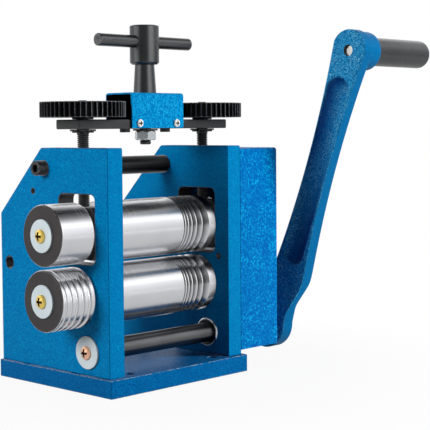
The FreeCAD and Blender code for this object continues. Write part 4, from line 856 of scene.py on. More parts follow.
@dataclass(frozen=True)
class Machined(Finish):
    """Plain or plated metal with tool marks; marked places take a second colour: scuffed metal,
    painted highlight on the gears and painted shade on the rollers.
    """

    colour: Triple
    smudge: Triple
    roughness: float
    spread: float = 0.1
    metallic: float = 1.0
    squeeze: Squeeze = Squeeze.EVERY_WAY
    relief: float = 2e-6
    wear_and_light_colour: Triple = (0.5, 0.5, 0.52)
    wear_and_light_amount: float = 0.0
    broken: float = 1.0
    specular: float = 0.5
    stretch: float = 0.0

    def dress(self, web: Web, place: Socket) -> dict[str, object]:
        """Marks roughen the metal, smudges tint it and marked places take a second colour: scuffed
        metal, painted highlight on the gears, painted shade on the rollers.

        Args:
            web: The material's web.
            place: Place on the object.

        Returns:
            The shader's inputs.
        """
        inputs = {"Vector": place, "Squeeze": self.squeeze.value}
        marks = web.add("Group", inputs, node_tree=tool_mark_group()).outputs
        share = web.number("MULTIPLY", marks["Cloud"], 0.7)
        colour = web.blend(share, self.colour, self.smudge)
        if self.wear_and_light_amount:
            colour = web.blend(wear_and_light_share(web, place, self.wear_and_light_amount, self.broken), colour, self.wear_and_light_colour)
        low, high = self.roughness - self.spread / 2, self.roughness + self.spread / 2
        made = {
            "Base Color": colour,
            "Roughness": web.between(marks["Lines"], low, high),
            "Metallic": self.metallic,
            "Specular IOR Level": self.specular,
            "Normal": web.relief(marks["Lines"], self.relief),
        }
        if self.stretch:
            along = web.add("CombineXYZ", dict(enumerate(np.round(self.squeeze.value))))
            made |= {"Anisotropic": self.stretch, "Tangent": along.outputs[0]}
        return made


# Its rim colour darkens the rounded edges to a navy line: painted shade
PLATE_BLUE = Enamel(
    "plate_blue_enamel", "plate_blue", deep=rgb(0, 98, 152), body=rgb(0, 122, 174),
    fleck_and_highlight=rgb(0, 142, 190), scale=1200.0, fleck_and_highlight_share=0.6, relief=0.00003, roughness=0.42,
    rim=rgb(0, 14, 56), rim_wear_and_shade=1.0, rim_broken=0.2,
)
BASE_BLUE = Enamel(
    "base_blue_enamel", "base_blue", deep=rgb(0, 78, 132), body=rgb(0, 98, 156),
    fleck_and_highlight=rgb(0, 118, 172), scale=1200.0, fleck_and_highlight_share=0.6, relief=0.00003, roughness=0.4,
    rim=rgb(170, 168, 140), rim_wear_and_shade=0.7,
)
BOX_BLUE = Enamel(
    "gearbox_hammered_blue", "cover_blue", deep=rgb(0, 88, 154), body=rgb(0, 114, 178),
    fleck_and_highlight=rgb(8, 172, 216), scale=660.0, fleck_and_highlight_share=0.75, relief=0.00006, roughness=0.34,
)
COVER_BLUE = Enamel(
    "cover_hammered_blue", "cover_blue", deep=rgb(0, 106, 162), body=rgb(4, 142, 194),
    fleck_and_highlight=rgb(40, 168, 210), scale=760.0, fleck_and_highlight_share=0.5, relief=0.00004, roughness=0.34,
)
# Its shadow colour is painted shade in the crank's pocket
ARM_BLUE = Enamel(
    "crank_hammered_blue", "cover_blue", deep=rgb(4, 94, 146), body=rgb(50, 156, 204),
    fleck_and_highlight=rgb(140, 202, 216), scale=1250.0, fleck_and_highlight_share=0.7, relief=0.00008, roughness=0.38,
    specular=0.06, shadow=rgb(0, 42, 104),
)
EDGE_BLUE = Enamel(
    "crank_edge_blue", "cover_blue", deep=rgb(0, 86, 134), body=rgb(0, 96, 146),
    fleck_and_highlight=rgb(0, 108, 158), scale=900.0, fleck_and_highlight_share=0.4, relief=0.00002, roughness=0.38,
)
# Its marked colour is near black: painted shade in the groove bottoms and beside the end chamfer
ROLL_STEEL = Machined(
    "ground_roll_steel", "polished_steel", (0.68, 0.685, 0.7), (0.64, 0.65, 0.67), 0.26,
    spread=0.03, squeeze=Squeeze.ROUND_X, relief=1e-7, stretch=0.6, wear_and_light_colour=(0.04, 0.042, 0.046),
    wear_and_light_amount=0.9, broken=0.0,
)
ROLL_END = Machined(
    "blackened_roll_end", "black_steel", rgb(56, 53, 53), rgb(48, 46, 46), 0.62,
    metallic=0.0, relief=4e-6, specular=0.2, wear_and_light_colour=rgb(110, 106, 104), wear_and_light_amount=0.4,
)
BLACK_STEEL = Machined(
    "black_oxide_steel", "black_steel", rgb(38, 38, 40), rgb(30, 30, 32), 0.42,
    metallic=0.4, relief=4e-6, wear_and_light_colour=rgb(120, 122, 126), wear_and_light_amount=0.35,
)
BAR_STEEL = Machined(
    "bridge_bar_black", "black_steel", rgb(42, 43, 44), rgb(34, 35, 36), 0.5,
    metallic=0.2, relief=5e-6, wear_and_light_colour=rgb(96, 98, 100), wear_and_light_amount=0.3,
)
BLACK_SHAFT = Machined(
    "black_turned_steel", "black_steel", (0.026, 0.027, 0.029), (0.018, 0.019, 0.021), 0.36,
    metallic=0.85, squeeze=Squeeze.ROUND_X, relief=4e-7, stretch=0.8,
)
BRIGHT_SHAFT = Machined(
    "polished_black_shaft", "black_steel", (0.13, 0.132, 0.136), (0.1, 0.102, 0.106), 0.33,
    metallic=0.95, squeeze=Squeeze.ROUND_X, relief=4e-7, stretch=0.8,
)
# Its marked colour is light grey: a painted highlight on one tip corner of each tooth, and scuffed
# metal on the faces' edges
BLACK_GEAR = Machined(
    "black_gear_steel", "black_steel", rgb(16, 16, 18), rgb(10, 10, 12), 0.5, metallic=0.0,
    squeeze=Squeeze.ROUND_Z, relief=4e-7, wear_and_light_colour=rgb(136, 140, 144), wear_and_light_amount=1.0, broken=0.3,
    specular=0.12,
)
GUNMETAL = Machined(
    "gunmetal_handle", "gunmetal", (0.085, 0.088, 0.09), (0.075, 0.078, 0.08), 0.26,
    spread=0.03, metallic=0.9, relief=1e-8, wear_and_light_colour=rgb(132, 134, 138), wear_and_light_amount=0.4,
)
ZINC_WASHER = Machined(
    "dull_zinc_washer", "zinc", rgb(190, 201, 204), rgb(178, 190, 194), 0.55,
    metallic=0.1, relief=6e-6, specular=0.2,
)
ZINC_BRIGHT = Machined("bright_zinc", "zinc", (0.62, 0.66, 0.68), (0.5, 0.54, 0.56), 0.24)
NICKEL_SCREW = Machined(
    "nickel_screw", "zinc", (0.84, 0.82, 0.77), (0.76, 0.74, 0.7), 0.34, relief=1e-6, metallic=0.2
)
YELLOW_ZINC = Machined(
    "yellow_zinc_screw", "yellow_zinc", rgb(232, 204, 110), rgb(216, 178, 84), 0.34, metallic=0.7
)
COPPER_ZINC = Machined(
    "coppery_zinc_screw", "yellow_zinc", rgb(236, 184, 152), rgb(220, 156, 124), 0.34, metallic=0.7
)
# The cross recess, painted near black: painted shade
RECESS_SHADE = Machined(
    "screw_recess_shade", "black_steel", rgb(30, 26, 22), rgb(20, 18, 16), 0.6, metallic=0.2
)
BRONZE = Machined(
    "bearing_bronze", "bronze", (0.3, 0.2, 0.09), (0.2, 0.13, 0.06), 0.4, squeeze=Squeeze.ROUND_X
)
GEAR_STEEL = Machined(
    "oiled_gear_steel", "gear_steel", (0.28, 0.28, 0.3), (0.18, 0.17, 0.16), 0.32
)
GRIP_BLACK = Machined(
    "grip_black_plastic", "grip_black", (0.036, 0.039, 0.041), (0.03, 0.033, 0.035), 0.28,
    spread=0.04, metallic=0.5, relief=1e-8, specular=0.3,
)


# --- Fasteners and other small pieces, drawn pointing along their pose ----------------------
def washer(skin: Skin, bore: float, outside: float, thick: float, pose: Pose) -> Skin:
    """A flat ring from 0 to its thickness, with softly rounded outer edges.

    Args:
        skin: Skin to add to.
        bore: Diameter of the hole.
        outside: Diameter of the ring.
        thick: Its thickness.
        pose: Its underside.

    Returns:
        The skin.
    """
    inner, outer, soft = bore / 2, outside / 2, 0.22 * thick
    profile = softened([(0.0, inner), (0.0, outer, soft), (thick, outer, soft), (thick, inner)], 3)
    edge = profile[:, 1] > outer - soft * 1.01
    return skin.stack(turned(profile), pose, ring=True, worn=edge)


def cross_screw(skin: Skin, thread: float, pose: Pose) -> Skin:
    """A domed screw head with a cross recess.

    The dome is z = h(1 - 0.6 (r / R)^2.4) out to its radius R.  The recess is a plus-shaped
    loop on the dome, drawn in as it goes down to a point.

    Args:
        skin: Skin to add to, whose second finish paints the recess dark: painted shade.
        thread: Thread diameter; the head is 1.8 times as wide.
        pose: Underside of the head.

    Returns:
        The skin.
    """
    columns, head, rise = 96, 0.9 * thread, 0.52 * thread

    def dome(radius: Array) -> Array:
        """Height of the dome at a radius."""
        return rise * (1 - 0.6 * (radius / head) ** 2.4)

    crown = head * np.linspace(0.95, 0.66, 5)
    out = np.concatenate((head * np.array([0.0, 0.94, 1.0, 1.0, 0.985]), crown))
    out_z = np.concatenate((rise * np.array([0.0, 0.0, 0.06, 0.32, 0.41]), dome(crown)))
    plus = cross(0.6 * head, 0.17 * head, columns)
    drawn = np.array([1.04, 1.0, 0.86, 0.5, 0.0])[:, None]
    drop = rise * np.array([0.0, 0.06, 0.55, 0.72, 0.78])[:, None]
    radius = np.concatenate((np.repeat(out[:, None], columns, 1), plus * drawn))
    along = np.concatenate((np.repeat(out_z[:, None], columns, 1), dome(plus) - drop))
    # The last rows, down into the recess, take the second finish, painted near black: painted shade
    paint = np.arange(len(radius) - 1) >= len(radius) - 4
    return skin.stack(rings(radius, along, columns, 0.5), pose, paint=paint.astype(int))


def socket_head(skin: Skin, thread: float, pose: Pose) -> Skin:
    """A cap screw's head: a cylinder as high as the thread is thick, with a hexagon socket.

    Args:
        skin: Skin to add to.
        thread: Thread diameter.
        pose: Underside of the head.

    Returns:
        The skin.
    """
    columns, head, bevel = 96, (1.5 * thread + 1.0) / 2, 0.09 * thread
    out = np.array([0.0, head - 0.2, head, head, head - 0.3 * bevel, head - bevel])
    out_z = [0.0, 0.0, 0.2, thread - bevel, thread - 0.3 * bevel, thread]
    key = hexagon(0.82 * thread, columns)
    mouth = np.maximum(key, 0.44 * thread) + 0.02 * thread
    radius = np.concatenate((np.repeat(out[:, None], columns, 1), [mouth, key, key, 0 * key]))
    along = np.array((*out_z, thread, thread * 0.96, 0.5 * thread, 0.42 * thread))
    worn = np.array([0, 0, 0, 0.6, 1, 0.6, 0.5, 0, 0, 0])
    return skin.stack(rings(radius, along, columns), pose, worn=worn)


def hex_nut(skin: Skin, thread: float, pose: Pose) -> Skin:
    """A hexagon nut whose corners are turned off.

    The wall's radius is the smaller of the hexagon's and of a cone that starts just inside
    the flats at each face: r = min(hexagon, 0.485 flats + 1.15 (distance from the face)).

    Args:
        skin: Skin to add to.
        thread: Thread diameter, which the bore has too.
        pose: The nut's underside.

    Returns:
        The skin.
    """
    columns, flats, height, mouth = 96, 1.5 * thread + 1.0, 0.8 * thread, 0.4
    steps = np.linspace(0.0, 0.16 * thread, 6)
    along = np.concatenate((steps, height - steps[::-1]))
    cone = (0.485 * flats + 1.15 * np.minimum(along, height - along))[:, None]
    inner = thread / 2 + np.array([mouth, 0.0, 0.0, mouth])
    radius = np.concatenate(
        (np.minimum(hexagon(flats, columns), cone), np.repeat(inner[:, None], columns, 1))
    )
    along = np.concatenate((along, [height, height - mouth, mouth, 0.0]))
    return skin.stack(rings(radius, along, columns), pose, ring=True)


def threaded(profile: Corners, pitch: float, ends: Pair, columns: int = 48) -> Array:
    """Loops of a turned rod with a right-hand thread on part of it.

    A thread is a groove whose depth at station s and angle a depends only on the fraction of
    s / pitch - a / 2pi, so that it climbs one pitch in a turn.

    Args:
        profile: (along, radius) corners, lowest station first.
        pitch: Distance between turns.
        ends: Stations where the thread starts and ends.
        columns: Points on each loop.

    Returns:
        Points of shape (rows, columns, 3).
    """
    corner, radius = np.array(profile, float).T
    start, end = ends
    stations = np.unique(np.concatenate((corner, np.arange(start, end, pitch / 10))))
    core = np.interp(stations, corner, radius)
    part = np.mod(stations[:, None] / pitch - turns(columns) / (2 * np.pi), 1.0)
    groove = np.clip((np.abs(2 * part - 1) - 0.12) / 0.76, 0.0, 1.0)
    fade = smoothstep(start, start + pitch, stations) * smoothstep(-end, pitch - end, -stations)
    radius = np.pad(core[:, None] - 0.58 * pitch * groove * fade[:, None], ((1, 1), (0, 0)))
    return rings(radius, np.pad(stations, 1, "edge"), columns)


def end_fastening(
    name: str, face: float, y: float, z: float, body: str, finish: Finish = YELLOW_ZINC
) -> None:
    """The washer and the cross-recessed screw on the left end of a shaft.

    Args:
        name: What the pair fastens.
        face: X of the face that the washer lies on.
        y: Place of the shaft's axis.
        z: Height of the shaft's axis.
        body: Body that the pair rides on.
        finish: Plating of the screw.
    """
    thread, width, thick = 5.0, 21.5, 1.4
    disc = washer(Skin(f"{name}_washer_disc"), thread + 0.1, width, thick, Way.LEFT.at(face, y, z))
    disc.piece(ZINC_WASHER, body, f"{name}_end_washer")
    head = cross_screw(Skin(f"{name}_screw_head"), thread, Way.LEFT.at(face - thick, y, z))
    head.piece([finish, RECESS_SHADE], body, f"{name}_end_screw")


# --- Sub-assemblies -----------------------------------------------------------------------
@dataclass
class MillFrame:
    """Base plate, side plates, tie rod and the gearbox cover's screws."""

    base: Triple = (128.4, 117.6, 12.0)
    front: float = -54.9
    rear: float = 57.8
    top: float = 160.0
    slope: float = 45.4
    window: Pair = (84.4, 130.0)
    window_width: float = 36.0
    window_corner: float = 5.0
    bench: Pair = (39.5, 47.9)
    bench_hole: float = 6.6
    foot_screws: Pair = (-12.9, 39.8)
    foot_hole: float = 10.6
    drive_bore: float = 17.0
    rear_bore: Triple = (8.3, 48.6, 80.7)
    small_hole: float = 3.6
    small_places: tuple[Pair, Pair] = ((21.4, 130.8), (-45.5, 82.2))
    tie: Pair = (9.1, 146.5)
    tie_radius: float = 6.4
    tie_thread: float = 6.0
    tie_washer: Triple = (6.4, 10.4, 1.6)
    screw_hole: float = 4.1
    box_thread: float = 5.0
    box_face: float = 101.95
    box_screws: tuple[Pair, ...] = ((1.5, 24.5), (1.5, 128.0), (-45.3, 148.4))

    def build(self) -> None:
        """Make every piece of the frame that shows."""
        self.base_plate()
        for name, side in SIDES.items():
            self.side_plate(name, side)
            self.flanged_bush(name, side)
        self.tie_rod()
        self.cap_screws()

    def base_plate(self) -> None:
        """The base: a slab with four bench holes and four screw seats under the plates."""
        x, y, thick = self.base[0] / 2, self.base[1] / 2, self.base[2]
        places = [(a * self.bench[0], b * self.bench[1]) for a in (-1, 1) for b in (-1, 1)]
        holes = [hole(self.bench_hole, *place) for place in places]
        middle = PLATE_INNER + PLATE_THICK / 2
        holes += [hole(self.foot_hole, a * middle, b) for a in (-1, 1) for b in self.foot_screws]
        skin = Skin("base_plate_body")
        skin.slab(oblong((-x, -y), (x, y), 1.0), holes, thick, Way.UP.at(), 0.6)
        skin.piece(BASE_BLUE, "frame", "base_plate")

    def side_plate(self, name: str, side: int) -> None:
        """A side plate: sloping rear corner, rounded window, and its bores.

        It is left out of mirror images, so the rolls beside it show the studio.  The right one
        has its small hole low at the front, and the left one high at the rear.

        Args:
            name: left or right.
            side: -1 for the left plate and 1 for the right one.
        """
        soft, foot, half = 1.2, self.base[2], self.window_width / 2
        outline = softened(
            [
                (self.front, foot, 0.4), (self.rear, foot, 0.4),
                (self.rear, self.top - self.slope, soft),
                (self.rear - self.slope, self.top, soft), (self.front, self.top, soft),
            ]
        )
        low, high = self.window
        # Drawn as (z, y), so that as (y, z) it runs clockwise, as a hole does
        window = oblong((low, AXIS_Y - half), (high, AXIS_Y + half), self.window_corner, 8)
        holes = [
            window[:, ::-1],
            hole(ROLL_BORE, AXIS_Y, LOWER_Z, 72),
            hole(self.drive_bore, *DRIVE),
            hole(self.bench_hole, *self.tie),
            hole(*self.rear_bore),
            hole(self.small_hole, *self.small_places[side > 0], 32),
        ]
        start = plate_start(side)
        skin = Skin(f"{name}_plate_body")
        skin.slab(outline, holes, PLATE_THICK, Way.RIGHT.at(start), dark_holes=True)
        plate = skin.raw(PLATE_BLUE, BLACK_STEEL)
        screw = Way.UP.at(start + PLATE_THICK / 2, AXIS_Y)
        deep, past = 40.0, 5.0
        drilled(plate, self.screw_hole, (self.top - deep, self.top + past), screw, 48)
        plate.visible_glossy = False
        finished(plate, PLATE_BLUE.slot, "frame", f"{name}_side_plate")

    def flanged_bush(self, name: str, side: int) -> None:
        """The drive shaft's bush in a plate: a blackened flange with a bright rim.

        Args:
            name: left or right.
            side: -1 for the left plate and 1 for the right one.
        """
        way = Way.LEFT if side > 0 else Way.RIGHT
        deep, bore, wall, flange, rise = 0.3 - PLATE_THICK, 6.95, 8.45, 10.0, 1.2
        profile = [
            (deep, bore), (deep, wall), (0.02, wall), (0.02, flange), (0.85, flange),
            (rise, flange - 0.35), (rise, flange - 0.8), (rise, bore + 0.45), (0.9, bore),
        ]
        skin = Skin(f"{name}_drive_bush")
        pose = way.at(side * PLATE_INNER, *DRIVE)
        skin.stack(turned(profile), pose, ring=True, paint=np.array([0, 0, 0, 1, 1, 1, 0, 0, 0]))
        skin.piece([BLACK_SHAFT, ZINC_BRIGHT], "frame", "drive_shaft_bushes")

    def tie_rod(self) -> None:
        """The rod between the plates, with its ends' edges rubbed."""
        soft = 0.5
        profile = rod(-PLATE_INNER, PLATE_INNER, self.tie_radius, soft)
        edge = np.abs(profile[:, 0]) > PLATE_INNER - soft
        skin = Skin("tie_rod_body").stack(turned(profile), Way.RIGHT.at(0.0, *self.tie), worn=edge)
        skin.piece(BLACK_SHAFT, "frame", "top_tie_rod")

    def cap_screws(self) -> None:
        """The tie rod's left cap screw on its washer, and three on the gearbox's outer face."""
        skin = Skin("tie_rod_screw_heads")
        washer(skin, *self.tie_washer, Way.LEFT.at(-PLATE_OUTER, *self.tie))
        seat = -PLATE_OUTER - self.tie_washer[2]
        socket_head(skin, self.tie_thread, Way.LEFT.at(seat, *self.tie))
        skin.piece(BLACK_STEEL, "frame", "tie_rod_screws")
        skin = Skin("gearbox_screw_heads")
        for place in self.box_screws:
            socket_head(skin, self.box_thread, Way.RIGHT.at(self.box_face, *place))
        skin.piece(BLACK_STEEL, "frame", "gearbox_screws")


@dataclass
class Rolls:
    """The two grooved rollers, their extension rolls, and the blocks that carry them."""

    radius: float = 20.0
    half: float = 48.65
    journal: float = 10.0
    stub: float = 9.0
    groove_start: float = 16.85
    groove_land: float = 0.6
    groove_widths: Array = field(default_factory=lambda: 1.6 * 1.33 ** np.arange(6))
    roll_start: float = -90.35
    roll_end: float = -63.85
    round_start: float = -88.55
    round_land: float = 2.4
    round_widths: Array = field(default_factory=lambda: 1.8 * 1.16 ** np.arange(5))
    clip_groove: Pair = (93.0, 94.3)
    tail: float = 96.05
    thrust_ring: Triple = (18.0, 36.0, 1.5)
    block_half: float = 17.95
    block_z: Pair = (87.5, 121.5)
    block_cut: float = 3.6

    def build(self) -> None:
        """Make both rollers with what is fixed to them, and the two blocks."""
        for name, height in (("lower", LOWER_Z), ("upper", UPPER_Z)):
            body = f"{name}_roll"
            self.roller(name, body, height)
            self.extension(name, body, height)
            ring = Skin(f"{name}_thrust_ring")
            washer(ring, *self.thrust_ring, Way.RIGHT.at(self.roll_end, AXIS_Y, height))
            ring.piece(ZINC_BRIGHT, body, f"{name}_spacer")
            end_fastening(body, self.roll_start, AXIS_Y, height, body)
        for name, side in SIDES.items():
            self.block(name, side)

    def grooves(self) -> Array:
        """Work out the V grooves: each falls by half its width to its middle.

        Returns:
            Their (along, radius) points, six to a groove.
        """
        width, soft = self.groove_widths, 0.12
        start = row_starts(self.groove_start, width, self.groove_land)
        middles = start[:, None] + width[:, None] * (0.0, 0.5, 1.0)
        along = np.stack((middles - soft, middles + soft), -1)
        edge, deep = np.full_like(width, soft), width / 2 - soft
        fall = np.stack((0 * width, edge, deep, deep, edge, 0 * width), -1)
        return np.stack((along.ravel(), self.radius - fall.ravel()), -1)

    def roller(self, name: str, body: str, height: float) -> None:
        """A roller: plain face, V grooves, journals and stubs in one turned piece.

        Args:
            name: lower or upper.
            body: Body that it rides on.
            height: Height of its axis.
        """
        soft, edge, full, stub = 0.8, self.half, self.radius, self.stub
        first, last = self.clip_groove
        ends, start = PLATE_OUTER + 0.3, self.roll_start + 0.3
        left = [
            (start, 0.0), (start, stub), (-ends, stub), (-ends, self.journal),
            (-edge, self.journal), (-edge, full - soft), (-edge + 0.35 * soft, full - 0.35 * soft),
            (-edge + soft, full), (-edge + 2 * soft, full),
        ]
        right = [
            (edge - soft, full), (edge - 0.35 * soft, full - 0.35 * soft), (edge, full - soft),
            (edge, self.journal), (ends, self.journal), (ends, stub), (first, stub),
            (first + 0.05, stub - 0.6), (last - 0.05, stub - 0.6), (last, stub),
            (self.tail - 0.6, stub), (self.tail, stub - 0.6), (self.tail, 0.0),
        ]
        grooves = self.grooves()
        # The groove bottoms are marked, and ROLL_STEEL turns them near black: painted shade
        bottom = np.isin(np.arange(len(grooves)) % 6, (2, 3))
        groove_shade = np.pad(bottom.astype(float), (len(left), len(right)))
        loops = turned(np.concatenate((left, grooves, right)), 192)
        skin = Skin(f"{name}_roller_body").stack(loops, Way.RIGHT.at(0.0, AXIS_Y, height), worn=groove_shade)
        skin.piece(ROLL_STEEL, body, f"{name}_roller")

    def extension(self, name: str, body: str, height: float) -> None:
        """A roll outside the left plate, on its blackened end; the lower one has round grooves.

        Args:
            name: lower or upper.
            body: Body that it rides on.
            height: Height of its axis.
        """
        start, end, full = self.roll_start, self.roll_end, self.radius
        profile = [
            (start, self.stub), (start, full - 1.1), (start, full - 0.75),
            (start + 0.12, full - 0.45), (start + 0.45, full - 0.06), (start + 0.65, full),
        ]
        if name == "lower":
            width = self.round_widths[:, None]
            first = row_starts(self.round_start, self.round_widths, self.round_land)
            t = np.linspace(0.0, 1.0, 13)
            deep = 0.44 * width * np.sqrt(np.clip(1 - (2 * t - 1) ** 2, 0, 1))
            profile += zip((first[:, None] + width * t).ravel(), full - deep.ravel())
        profile += [(end - 0.7, full), (end - 0.2, full - 0.15), (end, full - 0.5), (end, self.stub)]
        # Rows 2 and 3 are marked: the blackened end's chamfer turns lighter grey, and the steel
        # beside it near black, which is painted shade
        row = np.arange(len(profile))
        skin = Skin(f"{name}_extension_body").stack(
            turned(profile, 192), Way.RIGHT.at(0.0, AXIS_Y, height), ring=True,
            paint=(row < 3).astype(int), worn=(row == 2) | (row == 3),
        )
        skin.piece([ROLL_STEEL, ROLL_END], body, f"{name}_extension_roll")

    def block(self, name: str, side: int) -> None:
        """A bearing block that fills the window's width; mirror images leave it out too.

        Args:
            name: left or right.
            side: -1 for the left block and 1 for the right one.
        """
        cut, (low, high) = self.block_cut, self.block_z
        a, b = AXIS_Y - self.block_half, AXIS_Y + self.block_half
        corners = (
            (a + cut, low), (b - cut, low), (b, low + cut), (b, high - cut),
            (b - cut, high), (a + cut, high), (a, high - cut), (a, low + cut),
        )
        outline = softened([(*corner, 0.6) for corner in corners], 3)
        skin = Skin(f"{name}_block_body")
        bore = hole(ROLL_BORE, AXIS_Y, UPPER_Z, 72)
        skin.slab(outline, [bore], PLATE_THICK, Way.RIGHT.at(plate_start(side)), 0.4)
        made = skin.piece(BLACK_STEEL, "bearing_blocks", f"{name}_bearing_block")
        made.visible_glossy = False


@dataclass
class Adjuster:
    """Screws, gears, bridge bar, cover and T-handle above the plates."""

    screw_x: float = 55.55
    screw_z: Pair = (121.55, 191.0)
    thread: float = 8.0
    pitch: float = 1.25
    bar: Triple = (68.7, 23.6, 172.2)
    bar_top: float = 178.5
    gear_z: Pair = (179.9, 190.1)
    module: float = 1.1
    big_teeth: int = 49
    big_boss: float = 14.0
    idler_teeth: int = 18
    idler_boss: float = 10.5
    idler_bore: float = 4.1
    idler_x: float = 18.7
    idler_thread: float = 4.0
    plain_washer: Pair = (17.0, 1.2)
    bar_hole: float = 8.1
    cover_hole: float = 8.1
    cover: Triple = (24.15, 172.6, 196.4)
    cover_outer: float = 13.2
    cover_screw: Triple = (17.1, 175.9, 3.0)
    sheet: float = 1.4
    bend: float = 2.4
    stem_foot: float = 161.45
    stem_thread: Pair = (162.0, 172.0)
    hub_z: Pair = (217.2, 242.4)
    cross_bar: Triple = (42.25, 4.25, 231.2)
    nut_z: float = 164.45
    washer_z: float = 170.85

    def build(self) -> None:
        """Make the whole adjusting gear."""
        for name, side in SIDES.items():
            self.screw(name, side * self.screw_x)
            self.clip(name, side * self.screw_x)
            phase = 0.0 if side < 0 else 180.0
            big = Skin(f"{name}_gear_teeth")
            self.gear(big, self.big_teeth, phase, side * self.screw_x, self.thread, self.big_boss)
            big.piece(BLACK_GEAR, f"{name}_screw", f"{name}_adjusting_gear")
            idler, teeth = Skin(f"{name}_idler_teeth"), self.idler_teeth
            place, half_tooth = side * self.idler_x, 180.0 / teeth
            self.gear(idler, teeth, half_tooth, place, self.idler_bore, self.idler_boss)
            idler.piece(BLACK_GEAR, f"{name}_idler", f"{name}_idler_gear")
        self.bar_piece()
        self.idler_fasteners()
        self.cover_sheet()
        self.cover_screws()
        self.handle()
        self.nut()

    def screw(self, name: str, x: float) -> None:
        """An adjusting screw, threaded up to its clip and plain inside the gear.

        Args:
            name: left or right.
            x: Place of its axis.
        """
        (foot, top), radius = self.screw_z, self.thread / 2
        groove = self.bar[2] - 2.35
        profile = [
            (foot, radius - 1.0), (foot + 1.0, radius), (groove - 0.1, radius), (groove, 3.4),
            (groove + 1.0, 3.4), (groove + 1.1, radius), (top - 1.4, radius), (top, radius - 1.4),
        ]
        loops = threaded(profile, self.pitch, (foot + 0.5, groove - 0.6))
        skin = Skin(f"{name}_screw_thread").stack(loops, Way.UP.at(x, AXIS_Y))
        made = skin.piece(BLACK_STEEL, f"{name}_screw", f"{name}_adjusting_screw")
        made.visible_glossy = False

    def clip(self, name: str, x: float) -> None:
        """The washer under the bar and the open clip with two ears below it.

        Args:
            name: left or right.
            x: Place of the screw's axis.
        """
        under = self.bar[2] - 0.15
        skin = Skin(f"{name}_screw_clip")
        pose = Way.UP.at(x, AXIS_Y, under - self.plain_washer[1])
        washer(skin, self.thread, *self.plain_washer, pose)
        opening, spin, outside, inside = math.radians(32), math.radians(-135), 7.2, 3.5
        out = np.linspace(opening, 2 * np.pi - opening, 40)
        ears = np.array([(9.3, -4.6), (9.3, -2.6), (6.4, -1.8)])
        outline = np.concatenate(
            (arc(outside, out), ears, arc(inside, out[::-1]), ears[::-1] * (1, -1))
        )
        turn = np.array(((math.cos(spin), math.sin(spin)), (-math.sin(spin), math.cos(spin))))
        skin.slab(outline @ turn, [], 1.0, Way.UP.at(x, AXIS_Y, under - 2.2), 0.15, 1)
        skin.piece(BLACK_STEEL, f"{name}_screw", f"{name}_screw_washer")

    def gear(
        self, skin: Skin, teeth: int, phase: float, x: float, bore: float, boss: float
    ) -> None:
        """A gear's teeth, faces and bore as one ring of loops, and its boss on the bar.

        The outline is carried up the face, drawn in by its edge break at each end, and then
        falls to the bore's circle, which has as many points.

        Args:
            skin: Skin to add to.
            teeth: Number of teeth.
            phase: Angle of one tooth's middle, in degrees.
            x: Place of the gear's axis.
            bore: Diameter of its bore.
            boss: Diameter of its boss.
        """
        face, soft = self.gear_z[1] - self.gear_z[0], 0.28
        outline = gear_outline(self.module, teeth, phase)
        drawn = inset(outline, soft)
        angle = np.arctan2(outline[:, 1], outline[:, 0])
        rim = arc(self.module * (teeth / 2 - 1.25) - 1.2, angle)
        round_hole = arc(bore / 2, angle)
        rows = [
            (drawn, 0.0, 0.4, 1), (outline, soft, 0.7, 1), (outline, 2 * soft, 0.0, 1),
            (outline, face - 2 * soft, 0.0, 1), (outline, face - soft, 0.7, 1),
            (drawn, face, 0.4, 1), (rim, face, 0.0, 0), (round_hole, face, 0.0, 0),
            (round_hole, 0.0, 0.0, 0), (rim, 0.0, 0.0, 0),
        ]
        # One tip corner of each tooth is marked for a light line: painted highlight
        corner = np.tile(np.arange(TOOTH_POINTS) == 6, teeth)
        loops = np.stack([lifted(loop, height) for loop, height, _, _ in rows])
        worn = np.stack([np.maximum(wear_and_light_amount, corner * tip) for _, _, wear_and_light_amount, tip in rows])
        skin.stack(loops, Way.UP.at(x, AXIS_Y, self.gear_z[0]), ring=True, worn=worn)
        washer(skin, bore, boss, 1.25, Way.UP.at(x, AXIS_Y, self.bar_top + 0.15))

    def bar_piece(self) -> None:
        """The bridge bar with softly rounded edges and its holes."""
        half, width, low = self.bar
        a, b = AXIS_Y - width / 2, AXIS_Y + width / 2
        holes = [hole(self.bar_hole, x, AXIS_Y) for x in (-self.screw_x, 0.0, self.screw_x)]
        holes += [hole(self.idler_thread, x, AXIS_Y, 32) for x in (-self.idler_x, self.idler_x)]
        skin, outline = Skin("bridge_bar_body"), oblong((-half, a), (half, b), 1.2)
        skin.slab(outline, holes, self.bar_top - low, Way.UP.at(0.0, 0.0, low), 0.9, 3)
        skin.piece(BAR_STEEL, "bridge", "bridge_bar")

    def idler_fasteners(self) -> None:
        """The idlers' bolts, heads down under the bar, and the nuts on top of them."""
        bolts, nuts = Skin("idler_bolt_heads"), Skin("idler_nut_pair")
        low, top, thread = self.bar[2], self.gear_z[1] + 0.15, self.idler_thread
        shank = [(low, thread / 2), (top + 3.4, thread / 2), (top + 3.8, thread / 2 - 0.4)]
        for x in (-self.idler_x, self.idler_x):
            socket_head(bolts, thread, Way.DOWN.at(x, AXIS_Y, low + 1.6))
            bolts.stack(threaded(shank, 0.7, (top, top + 3.6), 32), Way.UP.at(x, AXIS_Y))
            hex_nut(nuts, thread, Way.UP.at(x, AXIS_Y, top))
        bolts.piece(BLACK_STEEL, "bridge", "idler_bolts")
        nuts.piece(ZINC_BRIGHT, "bridge", "idler_nuts")

